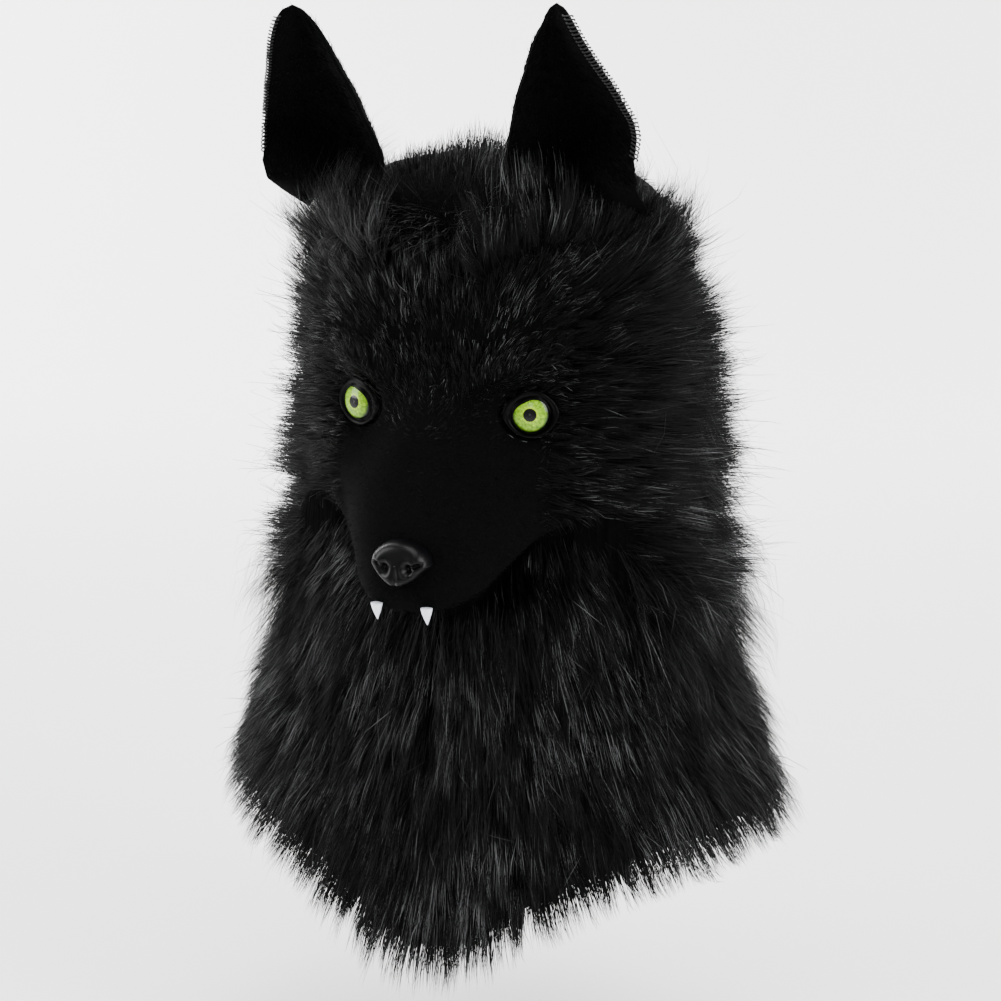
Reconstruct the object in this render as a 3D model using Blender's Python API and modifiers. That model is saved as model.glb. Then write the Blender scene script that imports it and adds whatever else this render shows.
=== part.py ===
# Plush animal mask: a hollow cloth head with a short-pile face and long fur, and a fur mantle
# that hangs from its neck seam. The face looks along -Y and +Z is up. The origin is the point
# inside the crown that rests on the wearer's head.

import math

import bmesh
import bpy
import numpy as np

# Head wall
HEAD_DROP = 0.289
HEAD_HALF_WIDTH = 0.115
HEAD_FRONT = 0.104
HEAD_BACK = 0.118
HEAD_POWER = 2.3
SHELL_WALL = 0.003
FACE_ANGLE = math.radians(62)
FACE_COLUMNS = 26
HOOD_COLUMNS = 20
HAIRLINE = 0.13
FACE_ROWS = 11
THROAT_ROWS = 3

# Muzzle
MUZZLE_REACH = 0.150
MUZZLE_HALF_WIDTH = 0.072
MUZZLE_POWER = 2.6
MUZZLE_BLEND = 9.0
THROAT_TUCK = 0.012

# Face relief
EYE_SIDE = 0.061
EYE_DROP = 0.145
BROW_RISE = 0.009

# Eyes
EYE_RADIUS = 0.0124
EYE_BULGE = 0.0050
EYE_EDGE = 0.0018
EYE_TURN = math.radians(18)
LID_WIDTH = 0.0040
LID_HEIGHT = 0.0042
LID_CORNER = 0.20  # how far its corners reach, as a share of the eye's radius
LID_GAP = 0.0009  # clear of the face's curve and facets

# Nose
NOSE_HALF_WIDTH = 0.0205
NOSE_HEIGHT = 0.029
NOSE_DEPTH = 0.0115
NOSE_RISE = 0.0333  # its middle above the lip line
NOSTRIL_DEPTH = 0.0035

# Fangs
FANG_SIDE = 0.0175
FANG_RADIUS = 0.0042
FANG_LENGTH = 0.0145
FANG_RISE = 0.006  # its top above the lip line

# Ears
EAR_TIP_SIDE = 0.089
EAR_TIP_FRONT = 0.117
EAR_TIP_RISE = 0.109
EAR_HALF_WIDTH = 0.045
EAR_CUP = 0.024
EAR_WALL = 0.006
EAR_ANGLE = math.radians(47)
EAR_SPAN = math.radians(25)
EAR_BASE_SINK = 0.05
EAR_TURN = math.radians(4)

# Mantle
MANTLE_SIDE_DROP = 0.125
MANTLE_FRONT_DROP = 0.228
MANTLE_BACK_DROP = 0.130
HEM_POWER = 1.1
MANTLE_HALF_WIDTH = 0.182
MANTLE_FRONT = 0.116
MANTLE_BACK = 0.140
MANTLE_POWER = 2.2
MANTLE_WALL = 0.002
MANTLE_COLUMNS = 36
MANTLE_ROWS = 6
NOTCH_RISE = 0.014
NOTCH_ANGLE = math.radians(10)

# Fur
FUR_EDGE = 0.004
CROWN_PEAK = 0.022
CROWN_FUR_DEPTH = 0.015
CROWN_SIDE_SWELL = 0.5
FOREHEAD_FUR_DEPTH = 0.010
CHEEK_FUR_DEPTH = 0.032
CHEEK_SWELL_ANGLE = math.radians(24)
MANE_FUR_DEPTH = 0.032
CHEST_FUR_DEPTH = 0.020
SHOULDER_FUR_DEPTH = 0.020
LOCK_HANG = 0.022
LOCK_CLEARANCE = 0.002

# Clearances
GAP = 0.0003
SEAM_GAP = 0.0005
FACE_GAP = 0.0012
FUR_GAP = 0.0008
EDGE_SLOPE = 0.003


def table(names, rows):
    """Columns by name, one row a section."""
    return {name: np.array(values, float) for name, values in zip(names.split(), zip(*rows))}


# Shares of HEAD_DROP, HEAD_HALF_WIDTH, HEAD_FRONT and HEAD_BACK, from the crown to the neck seam
HEAD_LEVELS = table("drop width front back", (
    (0.000, 0.00, 0.00, 0.00),
    (0.010, 0.36, 0.40, 0.36),
    (0.030, 0.62, 0.66, 0.60),
    (0.070, 0.80, 0.82, 0.76),
    (0.150, 0.92, 0.93, 0.88),
    (0.270, 0.98, 0.98, 0.96),
    (0.390, 0.99, 1.00, 1.00),
    (0.530, 1.00, 1.00, 1.00),
    (0.670, 1.02, 0.98, 0.97),
    (0.810, 1.07, 0.95, 0.92),
    (0.910, 1.13, 0.92, 0.89),
    (1.000, 1.20, 0.90, 0.88),
))

# Shares of HEAD_DROP, MUZZLE_REACH and MUZZLE_HALF_WIDTH, from between the brows to the lip
MUZZLE_LEVELS = table("drop reach width", (
    (0.20, 0.00, 0.00),
    (0.36, 0.60, 0.12),
    (0.46, 0.69, 0.28),
    (0.53, 0.73, 0.50),
    (0.60, 0.79, 0.78),
    (0.68, 0.87, 0.98),
    (0.75, 0.94, 1.00),
    (0.82, 0.98, 0.92),
    (0.88, 1.00, 0.84),
    (0.93, 0.96, 0.76),
    (0.96, 0.90, 0.70),
))

# The lip line: shares of FACE_ANGLE and of HEAD_DROP
LIP_LINE = table("angle drop", (
    (0.00, 0.925),
    (0.15, 0.912),
    (0.30, 0.880),
    (0.45, 0.820),
    (0.60, 0.768),
    (0.80, 0.737),
    (1.00, 0.725),
))

# Rises and dents of the face: centre and spread as shares of EYE_SIDE and EYE_DROP, slope is
# rise over run away from the nose, and height is a share of BROW_RISE
FACE_RELIEF = table("side drop side_spread drop_spread slope height", (
    (0.85, 0.80, 0.45, 0.062, 0.42, 1.00),
    (1.00, 1.00, 0.32, 0.120, 0.00, -0.45),
    (1.18, 1.27, 0.36, 0.130, 0.00, 0.55),
    (0.00, 0.80, 0.18, 0.150, 0.00, -0.35),
))

# Shares of the mantle's own drop, MANTLE_HALF_WIDTH, MANTLE_FRONT and MANTLE_BACK
MANTLE_LEVELS = table("drop width front back", (
    (0.00, 0.758, 0.807, 0.742),
    (0.20, 0.820, 0.830, 0.790),
    (0.45, 0.890, 0.880, 0.860),
    (0.70, 0.950, 0.930, 0.930),
    (1.00, 1.000, 1.000, 1.000),
    (1.20, 1.020, 1.040, 1.030),
))

# Ear widths from its base to its tip: shares of the height and of EAR_HALF_WIDTH
EAR_LEVELS = table("height inner outer", (
    (0.00, 0.90, 0.98),
    (0.12, 0.91, 1.00),
    (0.25, 0.86, 1.00),
    (0.38, 0.77, 0.95),
    (0.50, 0.69, 0.82),
    (0.65, 0.52, 0.61),
    (0.80, 0.38, 0.43),
    (0.92, 0.22, 0.28),
    (1.00, 0.05, 0.05),
))


def read(rows, key, column, at):
    """The column at any key: cubic between its rows, without overshoot, and level past its ends."""
    x, y = rows[key], rows[column]
    slope = np.diff(y) / np.diff(x)
    inner = slope[:-1] * slope[1:]
    mean = np.where(inner > 0, 2 * inner / np.where(inner > 0, slope[:-1] + slope[1:], 1), 0)
    tangent = np.concatenate([slope[:1], mean, slope[-1:]])
    at = np.clip(at, x[0], x[-1])
    i = np.clip(np.searchsorted(x, at, side="right") - 1, 0, len(x) - 2)
    h = x[i + 1] - x[i]
    t = (at - x[i]) / h
    return (
        y[i] * (1 + 2 * t) * (1 - t) ** 2
        + y[i + 1] * t * t * (3 - 2 * t)
        + h * tangent[i] * t * (1 - t) ** 2
        + h * tangent[i + 1] * t * t * (t - 1)
    )


def smooth(t):
    t = np.clip(t, 0, 1)
    return t * t * (3 - 2 * t)


def oval(theta, half_width, front, back, power):
    """Reach from the middle of an oval section at an angle from the front."""
    depth = np.where(np.cos(theta) > 0, front, back)
    across = np.abs(np.sin(theta)) / np.maximum(half_width, 1e-9)
    along = np.abs(np.cos(theta)) / np.maximum(depth, 1e-9)
    return (across**power + along**power) ** (-1 / power)


def wrapped(theta):
    """The angle from the front, between minus and plus half a turn."""
    return (np.asarray(theta, float) + math.pi) % (2 * math.pi) - math.pi


def lip_drop(theta):
    return read(LIP_LINE, "angle", "drop", np.abs(wrapped(theta)) / FACE_ANGLE)


def relief(side, down):
    """How far the face stands out at a distance from its middle and below the crown."""
    total = np.zeros_like(side)
    for row in range(len(FACE_RELIEF["side"])):
        part = {name: values[row] for name, values in FACE_RELIEF.items()}
        away = np.abs(side) - part["side"] * EYE_SIDE
        below = down - part["drop"] * EYE_DROP + part["slope"] * away
        total += part["height"] * BROW_RISE * np.exp(
            -((away / (part["side_spread"] * EYE_SIDE)) ** 2)
            - (below / (part["drop_spread"] * EYE_DROP)) ** 2
        )
    return total


def head_reach(theta, drop):
    """Distance of the head's outside from its upright axis."""
    theta = wrapped(theta)
    head = oval(
        theta,
        HEAD_HALF_WIDTH * read(HEAD_LEVELS, "drop", "width", drop),
        HEAD_FRONT * read(HEAD_LEVELS, "drop", "front", drop),
        HEAD_BACK * read(HEAD_LEVELS, "drop", "back", drop),
        HEAD_POWER,
    )
    reach = MUZZLE_REACH * read(MUZZLE_LEVELS, "drop", "reach", drop)
    width = MUZZLE_HALF_WIDTH * read(MUZZLE_LEVELS, "drop", "width", drop)
    muzzle = oval(theta, width, reach, reach, MUZZLE_POWER)
    ahead = smooth(np.cos(theta) / 0.3)
    face = (head**MUZZLE_BLEND + (ahead * muzzle) ** MUZZLE_BLEND) ** (1 / MUZZLE_BLEND)
    face = face + ahead * relief(face * np.sin(theta), HEAD_DROP * drop)
    above = smooth((lip_drop(theta) - drop) / 0.012 + 1)
    tuck = np.sin(np.pi * np.clip(np.abs(theta) / FACE_ANGLE, 0, 1)) ** 2
    throat = head - THROAT_TUCK * tuck * smooth((1 - drop) / 0.14)
    return np.where(np.abs(theta) < FACE_ANGLE, throat + (face - throat) * above, face)


def mantle_drop(theta):
    """Length of the mantle from the neck seam to its hem."""
    theta = wrapped(theta)
    side, ahead = np.abs(np.sin(theta)), np.cos(theta)
    lowest = np.where(ahead > 0, MANTLE_FRONT_DROP, MANTLE_BACK_DROP)
    notch = NOTCH_RISE * np.exp(-((theta / NOTCH_ANGLE) ** 2))
    return MANTLE_SIDE_DROP + (lowest - MANTLE_SIDE_DROP) * (1 - side**HEM_POWER) - notch


def head_line(theta, drop):
    """Reach and height of the head's outside."""
    return head_reach(theta, drop), SHELL_WALL - HEAD_DROP * drop


def mantle_line(theta, drop):
    """Reach and height of the mantle's outside."""
    reach = oval(
        wrapped(theta),
        MANTLE_HALF_WIDTH * read(MANTLE_LEVELS, "drop", "width", drop),
        MANTLE_FRONT * read(MANTLE_LEVELS, "drop", "front", drop),
        MANTLE_BACK * read(MANTLE_LEVELS, "drop", "back", drop),
        MANTLE_POWER,
    )
    return reach, SHELL_WALL - HEAD_DROP - mantle_drop(theta) * drop


def placed(line, theta, drop, lift=0.0):
    """Points on a wall, lifted off it within the upright plane at their angle."""
    theta, drop = np.broadcast_arrays(np.asarray(theta, float), np.asarray(drop, float))
    reach, height = line(theta, drop)
    step = 0.004
    reach_up, height_up = line(theta, np.maximum(drop - step, 0))
    reach_down, height_down = line(theta, drop + step)
    out = np.where(drop > 0, height_up - height_down, 0)
    rise = reach_down - reach_up
    length = np.hypot(out, rise)
    reach = reach + lift * out / length
    height = height + lift * rise / length
    return np.stack([reach * np.sin(theta), -reach * np.cos(theta), height], -1)


def run(line, theta, drop):
    """Length along a wall for a whole unit of its drop."""
    reach, height = line(theta, drop)
    reach_down, height_down = line(theta, drop + 0.02)
    return np.hypot(reach_down - reach, height_down - height) / 0.02


def head_drops(theta):
    """Drops of the head wall's rows at each angle: crown, hairline, lip line and neck seam."""
    theta = np.asarray(theta, float)
    crown = np.array([0.0, 0.010, 0.030, 0.070])[:, None] + 0 * theta
    lip = lip_drop(theta)
    face = HAIRLINE + (lip - HAIRLINE) * np.linspace(0, 1, FACE_ROWS + 1)[:, None]
    throat = lip + (1 - lip) * np.linspace(0, 1, THROAT_ROWS + 1)[1:, None] ** 0.8
    return np.concatenate([crown, face, throat])


CROWN_ROWS = 4
FRONT_ANGLES = np.linspace(-FACE_ANGLE, FACE_ANGLE, FACE_COLUMNS + 1)
BACK_ANGLES = np.linspace(FACE_ANGLE, 2 * math.pi - FACE_ANGLE, HOOD_COLUMNS + 1)
HEAD_ANGLES = np.concatenate([FRONT_ANGLES[:-1], BACK_ANGLES[:-1]])


def mantle_drops(theta):
    """Drops of the mantle wall's rows at each angle."""
    drops = np.linspace(0, 1, MANTLE_ROWS + 1)[:, None] + 0 * np.asarray(theta, float)
    drops[0] += SEAM_GAP / MANTLE_SIDE_DROP
    return drops


def material(name, colour, roughness, metallic=0.0):
    made = bpy.data.materials.new(name)
    made.use_nodes = True
    shader = made.node_tree.nodes["Principled BSDF"]
    shader.inputs["Base Color"].default_value = (*colour, 1)
    shader.inputs["Roughness"].default_value = roughness
    shader.inputs["Metallic"].default_value = metallic
    return made


def surface(name, points, faces, finish, closed):
    """An object from points and faces, its doubles merged and a closed one turned outwards."""
    mesh = bpy.data.meshes.new(name)
    mesh.from_pydata([tuple(point) for point in points], [], faces)
    work = bmesh.new()
    work.from_mesh(mesh)
    bmesh.ops.remove_doubles(work, verts=work.verts, dist=1e-6)
    loose = [edge for edge in work.edges if not edge.link_faces]
    bmesh.ops.delete(work, geom=loose, context="EDGES")
    if closed:
        bmesh.ops.recalc_face_normals(work, faces=work.faces)
    if closed and work.calc_volume(signed=True) < 0:
        bmesh.ops.reverse_faces(work, faces=work.faces)
    work.to_mesh(mesh)
    work.free()
    mesh.materials.append(finish)
    mesh.shade_smooth()
    mesh.set_sharp_from_angle(angle=math.radians(40))
    made = bpy.data.objects.new(name, mesh)
    bpy.data.collections[COLLECTION].objects.link(made)
    return made


def grid_faces(rows, columns, ring=False):
    """Pairs of triangles over a grid of points that is stored row by row."""
    faces = []
    for row in range(rows - 1):
        for column in range(columns if ring else columns - 1):
            after = (column + 1) % columns
            here, below = row * columns, (row + 1) * columns
            faces.append((here + column, below + column, below + after))
            faces.append((here + column, below + after, here + after))
    return faces


def loft(name, loops, finish, ring=False):
    """A closed body through closed loops of points, with flat ends where it isn't a ring."""
    count, size = loops.shape[:2]
    faces = []
    for loop in range(count if ring else count - 1):
        after = (loop + 1) % count
        for point in range(size):
            beside = (point + 1) % size
            here, there = loop * size, after * size
            faces.append((here + point, here + beside, there + point))
            faces.append((here + beside, there + beside, there + point))
    if not ring:
        faces.append(tuple(range(size)))
        faces.append(tuple(range((count - 1) * size, count * size)))
    return surface(name, loops.reshape(-1, 3), faces, finish, True)


def walled(made, thickness, offset=-1):
    """Gives an open surface its wall."""
    wall = made.modifiers.new("wall", "SOLIDIFY")
    wall.thickness = thickness
    wall.offset = offset
    wall.use_even_offset = True
    return made


def hood(finish):
    """Crown, sides and back of the head, open at the face and at the neck."""
    drops = head_drops(HEAD_ANGLES)
    points = placed(head_line, HEAD_ANGLES, drops)
    rows, columns = drops.shape
    faces = [
        face for index, face in enumerate(grid_faces(rows, columns, ring=True))
        if index // (2 * columns) < CROWN_ROWS or index // 2 % columns >= FACE_COLUMNS
    ]
    made = surface("hood", points.reshape(-1, 3), faces, finish, False)
    return walled(made, SHELL_WALL)


def face(finish):
    """The plush face wall, inside the hood's opening by the seam's gap."""
    angles = FRONT_ANGLES.copy()
    angles[0] += FACE_GAP / HEAD_HALF_WIDTH
    angles[-1] -= FACE_GAP / HEAD_HALF_WIDTH
    drops = head_drops(angles)[CROWN_ROWS:]
    drops[0] += FACE_GAP / HEAD_DROP
    drops[-1] -= FACE_GAP / HEAD_DROP
    points = placed(head_line, angles, drops)
    made = surface("face", points.reshape(-1, 3), grid_faces(*drops.shape), finish, False)
    return walled(made, SHELL_WALL)


def mantle(finish):
    """The cloth that hangs from the neck seam."""
    angles = np.linspace(0, 2 * math.pi, MANTLE_COLUMNS, endpoint=False)
    drops = mantle_drops(angles)
    points = placed(mantle_line, angles, drops)
    faces = grid_faces(*drops.shape, ring=True)
    made = surface("mantle", points.reshape(-1, 3), faces, finish, False)
    return walled(made, MANTLE_WALL)


def fur(name, line, angles, drops, starts, depth, finish, seed, swell=1.0, ring=False):
    """Rows of overlapping locks fused to a backing. drops holds the backing's rows at each angle,
    starts the rows where a new row of locks begins, depth the fur's depth at each start, and
    swell its share at each angle."""
    random = np.random.default_rng(seed)
    columns = len(angles)
    backing = placed(line, angles, drops, FUR_GAP)
    full = np.interp(np.arange(len(drops)), starts, depth)
    edge = drops[0] + (0 if ring else EDGE_SLOPE / run(line, angles, drops[0]))
    outer = [placed(line, angles, edge, FUR_GAP + (depth[0] if ring else FUR_EDGE))]
    for number, (start, end) in enumerate(zip(starts, starts[1:])):
        crest = (np.arange(columns) + number) % 2
        vary = random.uniform(0.85, 1.15, columns)
        fullness = full[end] * swell * (0.72 + 0.28 * crest) * vary
        fullness = np.maximum(fullness, FUR_EDGE + LOCK_CLEARANCE)
        hang = LOCK_HANG * (0.25 + 0.75 * crest) * vary * np.minimum(swell, 1)
        hang = hang / run(line, angles, drops[end])
        outer.append(placed(line, angles, drops[end] + hang, FUR_GAP + fullness))
        root = 0.45 * full[end] * swell if end != starts[-1] else FUR_EDGE + LOCK_CLEARANCE
        root = np.maximum(root, FUR_EDGE)
        outer.append(placed(line, angles, drops[end], FUR_GAP + root))
    loops = np.concatenate([np.stack(outer), backing[::-1]])
    return loft(name, loops.transpose(1, 0, 2), finish, ring)


def head_fur(name, angles, first, last, starts, depth, finish, seed, swell=1.0, ring=False):
    """Fur on the head from one of its rows to another."""
    drops = head_drops(angles)[first:last + 1]
    return fur(name, head_line, angles, drops, starts, depth, finish, seed, swell, ring)


def mantle_fur(name, angles, depth, finish, seed):
    """Fur on the mantle, thin at the neck seam."""
    drops = mantle_drops(angles)
    starts = list(range(MANTLE_ROWS + 1))
    depths = depth * np.linspace(0.55, 1, MANTLE_ROWS + 1)
    return fur(name, mantle_line, angles, drops, starts, depths, finish, seed)


def crown_swell(theta):
    """Share of the crown fur's depth at an angle: it is fuller beside and behind the ears."""
    return 1 + CROWN_SIDE_SWELL * smooth((np.abs(wrapped(theta)) - EAR_ANGLE) / (2 * EAR_SPAN))


def face_point(side, drop, turns=30):
    """Point of the face at a distance from its middle and a drop below the crown."""
    side, drop = np.broadcast_arrays(np.asarray(side, float), np.asarray(drop, float))
    share = drop / HEAD_DROP
    reach = head_reach(np.zeros_like(side), share)
    for _ in range(turns):
        angle = np.arcsin(np.clip(side / reach, -0.98, 0.98))
        reach = 0.5 * reach + 0.5 * head_reach(angle, share)
    return np.stack([side, -reach * np.cos(angle), SHELL_WALL - drop], -1)


def lip_point(side, rise):
    """Point a little above the lip, on the straight wall between the face's last two rows."""
    lip = lip_drop(math.asin(side / MUZZLE_REACH))
    above = HAIRLINE + (lip - HAIRLINE) * (FACE_ROWS - 1) / FACE_ROWS
    upper, lower = face_point(side, HEAD_DROP * above), face_point(side, HEAD_DROP * lip)
    return upper + (lower - upper) * (1 - rise / (HEAD_DROP * (lip - above)))


def lid_inside(around):
    """Radius of the rim's inside, longer at its two corners."""
    return (EYE_RADIUS + GAP) * (1 + LID_CORNER * np.abs(np.cos(around)) ** 6)


def seated(flat, across, up, ahead, centre):
    """How far along ahead from centre the rim's flat back must stand to clear the face."""
    around = np.linspace(0, 2 * math.pi, 48, endpoint=False)
    rings = np.linspace(0, 1, 9)[:, None] * (lid_inside(around) + LID_WIDTH)
    side = centre[0] + (rings * np.cos(around)) * across[0]
    drop = SHELL_WALL - centre[2] - rings * np.sin(around) * up[2]
    return np.max((face_point(side, drop) - centre) @ ahead) + flat


def turned(side):
    """Directions across, up and out of an eye on one side."""
    angle = EYE_TURN * side
    ahead = np.array([math.sin(angle), -math.cos(angle), 0.0])
    across = np.array([math.cos(angle), math.sin(angle), 0.0])
    return across, np.array([0.0, 0.0, 1.0]), ahead


def eye_place(side):
    """Seat of an eye, clear of the face."""
    across, up, ahead = turned(side)
    centre = face_point(side * EYE_SIDE, EYE_DROP)
    lift = seated(LID_GAP, across, up, ahead, centre)
    return centre + ahead * lift


def eye(name, side, finish):
    """A domed disc."""
    across, up, ahead = turned(side)
    around = np.linspace(0, 2 * math.pi, 20, endpoint=False)[:, None]
    share = np.array([0.0, 1.0, 1.0, 0.85, 0.6, 0.3, 0.0])
    out = EYE_EDGE + EYE_BULGE * np.sqrt(1 - share**2)
    out[:2] = 0
    ring = EYE_RADIUS * share
    loops = (
        eye_place(side)
        + (ring * np.cos(around))[..., None] * across
        + (ring * np.sin(around))[..., None] * up
        + (out + 0 * around)[..., None] * ahead
    )
    return loft(name, loops, finish, ring=True)


def eyelid(name, side, finish):
    """An almond rim round the eye, flat behind and half round in front."""
    across, up, ahead = turned(side)
    around = np.linspace(0, 2 * math.pi, 24, endpoint=False)[:, None]
    section = np.linspace(0, math.pi, 5)
    ring = lid_inside(around) + LID_WIDTH * (1 - np.cos(section)) / 2
    out = LID_HEIGHT * np.sin(section) + 0 * around
    loops = (
        eye_place(side)
        + (ring * np.cos(around))[..., None] * across
        + (ring * np.sin(around))[..., None] * up
        + out[..., None] * ahead
    )
    return loft(name, loops, finish, ring=True)


def nose(finish):
    """A rounded wedge that narrows to its cleft, with two nostrils."""
    around = np.linspace(0, 2 * math.pi, 28, endpoint=False)[:, None]
    share = np.array([0.0, 0.5, 1.0, 1.0, 0.88, 0.62, 0.34, 0.0])
    rise = np.array([0.0, 0.0, 0.0, 0.35, 0.80, 0.96, 1.0, 1.0])
    lower = np.clip(-np.sin(around), 0, 1)
    side = NOSE_HALF_WIDTH * share * np.cos(around) * (1 - 0.42 * lower)
    height = 0.5 * NOSE_HEIGHT * share * np.sin(around)
    dent = np.exp(-(((np.abs(side) - 0.46 * NOSE_HALF_WIDTH) / 0.004) ** 2) - ((height + 0.001) / 0.004) ** 2)
    cleft = np.exp(-((side / 0.002) ** 2)) * smooth(-height / (0.5 * NOSE_HEIGHT))
    out = NOSE_DEPTH * rise - NOSTRIL_DEPTH * (dent + 0.5 * cleft) * (rise > 0.5)
    back = face_point(side, HEAD_DROP * lip_drop(0.0) - NOSE_RISE - height)
    loops = back + np.array([0.0, -1.0, 0.0]) * (out + SEAM_GAP)[..., None]
    return loft("nose", loops, finish, ring=True)


def fang(name, side, finish):
    """A cone that leans back a little and lies against the lip."""
    around = np.linspace(0, 2 * math.pi, 10, endpoint=False)[:, None]
    share = np.array([0.0, 1.0, 0.92, 0.62, 0.30, 0.0])
    down = np.array([0.0, 0.0, 0.30, 0.65, 0.90, 1.0])
    radius = FANG_RADIUS * share
    seat = lip_point(side * FANG_SIDE, FANG_RISE)
    seat = seat + np.array([0.0, -1.0, 0.0]) * (FANG_RADIUS + SEAM_GAP)
    loops = np.stack([
        seat[0] + radius * np.cos(around),
        seat[1] + radius * np.sin(around),
        seat[2] - FANG_LENGTH * down + 0 * around,
    ], -1)
    return loft(name, loops, finish, ring=True)


def ear(name, side, finish):
    """A cupped triangle that stands on the crown fur and leans forward."""
    across = np.linspace(-1, 1, 9)
    height = np.linspace(0, 1, 9)[:, None]
    base_angle = EAR_ANGLE + EAR_SPAN * across
    lift = CROWN_FUR_DEPTH * 1.3 * crown_swell(base_angle) + EAR_WALL / 2 + FUR_GAP
    foot = placed(head_line, base_angle, 0.075 + EAR_BASE_SINK * across**2, lift)
    tip = np.array([EAR_TIP_SIDE, -EAR_TIP_FRONT, EAR_TIP_RISE])
    middle = foot[len(across) // 2]
    spine = middle + (tip - middle) * height[..., None]
    wide = np.where(across < 0, read(EAR_LEVELS, "height", "inner", height),
                    read(EAR_LEVELS, "height", "outer", height))
    outwards = np.array([math.cos(EAR_TURN), math.sin(EAR_TURN), 0.0])
    backwards = np.array([-math.sin(EAR_TURN), math.cos(EAR_TURN), 0.0])
    cup = EAR_CUP * np.sin(math.pi * np.clip(height, 0, 1) ** 0.7) * (1 - across**2)
    free = (
        spine
        + (EAR_HALF_WIDTH * wide * across)[..., None] * outwards
        + cup[..., None] * backwards
    )
    hold = smooth(height / 0.13)[..., None]
    points = (1 - hold) * foot + hold * free
    points = points * np.array([side, 1, 1])
    made = surface(name, points.reshape(-1, 3), grid_faces(9, 9), finish, False)
    return walled(made, EAR_WALL, 0)


COLLECTION = "plush_animal_mask"


def build():
    for old in list(bpy.data.objects):
        bpy.data.objects.remove(old)
    collection = bpy.data.collections.new(COLLECTION)
    bpy.context.scene.collection.children.link(collection)

    plush = material("short_plush", (0.006, 0.006, 0.007), 0.95)
    cloth = material("backing_cloth", (0.008, 0.008, 0.009), 0.9)
    long_fur = material("long_fur", (0.012, 0.012, 0.013), 0.8)
    resin = material("resin_eye", (0.35, 0.62, 0.03), 0.08)
    rim = material("eye_rim", (0.004, 0.004, 0.004), 0.35)
    rubber = material("nose_vinyl", (0.01, 0.01, 0.01), 0.3)
    ivory = material("fang_resin", (0.8, 0.8, 0.85), 0.3)

    hood(cloth)
    face(plush)
    mantle(cloth)
    for side, word in ((1, "left"), (-1, "right")):
        ear("ear_" + word, side, plush)
        eye("eye_" + word, side, resin)
        eyelid("eyelid_" + word, side, rim)
        fang("fang_" + word, side, ivory)
    nose(rubber)

    brow_row = CROWN_ROWS + 3
    last_row = CROWN_ROWS + FACE_ROWS + THROAT_ROWS
    crown_depths = np.linspace(CROWN_PEAK, CROWN_FUR_DEPTH, 4)
    head_fur("crown_fur", HEAD_ANGLES, 0, 3, [0, 1, 2, 3], crown_depths, long_fur, 1,
             crown_swell(HEAD_ANGLES), ring=True)
    inner = 3
    front = FRONT_ANGLES[inner:-inner]
    depths = [0.6 * FOREHEAD_FUR_DEPTH, FOREHEAD_FUR_DEPTH, 0.6 * FOREHEAD_FUR_DEPTH]
    head_fur("forehead_fur", front, 3, brow_row, [0, 2, 4], depths, long_fur, 2)
    seam = SEAM_GAP / HEAD_HALF_WIDTH
    sides = np.concatenate([FRONT_ANGLES[-inner - 1:-1], BACK_ANGLES[:3]])
    sides[0] += seam
    sides[-1] -= seam
    cheek_depths = CHEEK_FUR_DEPTH * np.array([0.60, 0.95, 1.00, 1.06, 1.12, 1.05, 0.80, 0.85])
    starts = [0, 1, 3, 5, 7, 9, 12, 15]
    swell = smooth((sides - sides[0]) / CHEEK_SWELL_ANGLE)
    head_fur("cheek_fur_left", sides, 3, last_row, starts, cheek_depths, long_fur, 3, swell)
    head_fur("cheek_fur_right", -sides[::-1], 3, last_row, starts, cheek_depths, long_fur, 4,
             swell[::-1])
    back = BACK_ANGLES[2:-2].copy()
    mane_starts = [0, 1, 3, 6, 8, 10, 12, 15]
    mane_depths = MANE_FUR_DEPTH * np.array([0.60, 0.90, 1.00, 1.00, 1.05, 1.10, 1.10, 1.10])
    head_fur("mane_fur", back, 3, last_row, mane_starts, mane_depths, long_fur, 5)

    step = 2 * math.pi / MANTLE_COLUMNS
    chest = np.arange(0, 9) * step
    chest[0] += SEAM_GAP / MANTLE_FRONT
    chest[-1] -= SEAM_GAP / MANTLE_HALF_WIDTH
    shoulders = np.arange(8, MANTLE_COLUMNS - 7) * step
    mantle_fur("chest_fur_left", chest, CHEST_FUR_DEPTH, long_fur, 6)
    mantle_fur("chest_fur_right", -chest[::-1], CHEST_FUR_DEPTH, long_fur, 7)
    mantle_fur("shoulder_fur", shoulders, SHOULDER_FUR_DEPTH, long_fur, 8)


build()
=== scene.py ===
import math

import bpy
import numpy as np
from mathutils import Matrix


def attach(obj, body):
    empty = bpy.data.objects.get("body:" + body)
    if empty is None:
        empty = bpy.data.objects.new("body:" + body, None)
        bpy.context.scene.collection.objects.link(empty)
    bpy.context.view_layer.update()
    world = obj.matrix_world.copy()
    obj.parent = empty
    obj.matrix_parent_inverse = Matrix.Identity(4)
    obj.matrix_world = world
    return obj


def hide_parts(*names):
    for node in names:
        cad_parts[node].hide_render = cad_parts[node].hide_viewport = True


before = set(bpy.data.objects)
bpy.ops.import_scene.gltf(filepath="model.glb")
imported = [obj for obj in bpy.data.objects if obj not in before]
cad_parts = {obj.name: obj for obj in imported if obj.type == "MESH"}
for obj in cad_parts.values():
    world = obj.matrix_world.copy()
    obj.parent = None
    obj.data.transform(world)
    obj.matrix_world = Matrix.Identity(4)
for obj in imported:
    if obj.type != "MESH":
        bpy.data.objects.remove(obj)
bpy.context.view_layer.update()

# Plush animal mask: smooth walls, combed fur, eyes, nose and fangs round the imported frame.
# Metres. The face looks along -Y, and an angle on the head runs from there towards +X.

print("frame loaded:", len(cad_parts), "nodes")


# Columns by name, one row a section
def namedColumns(names, rows):
    return {name: np.array(values, float) for name, values in zip(names.split(), zip(*rows))}


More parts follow.
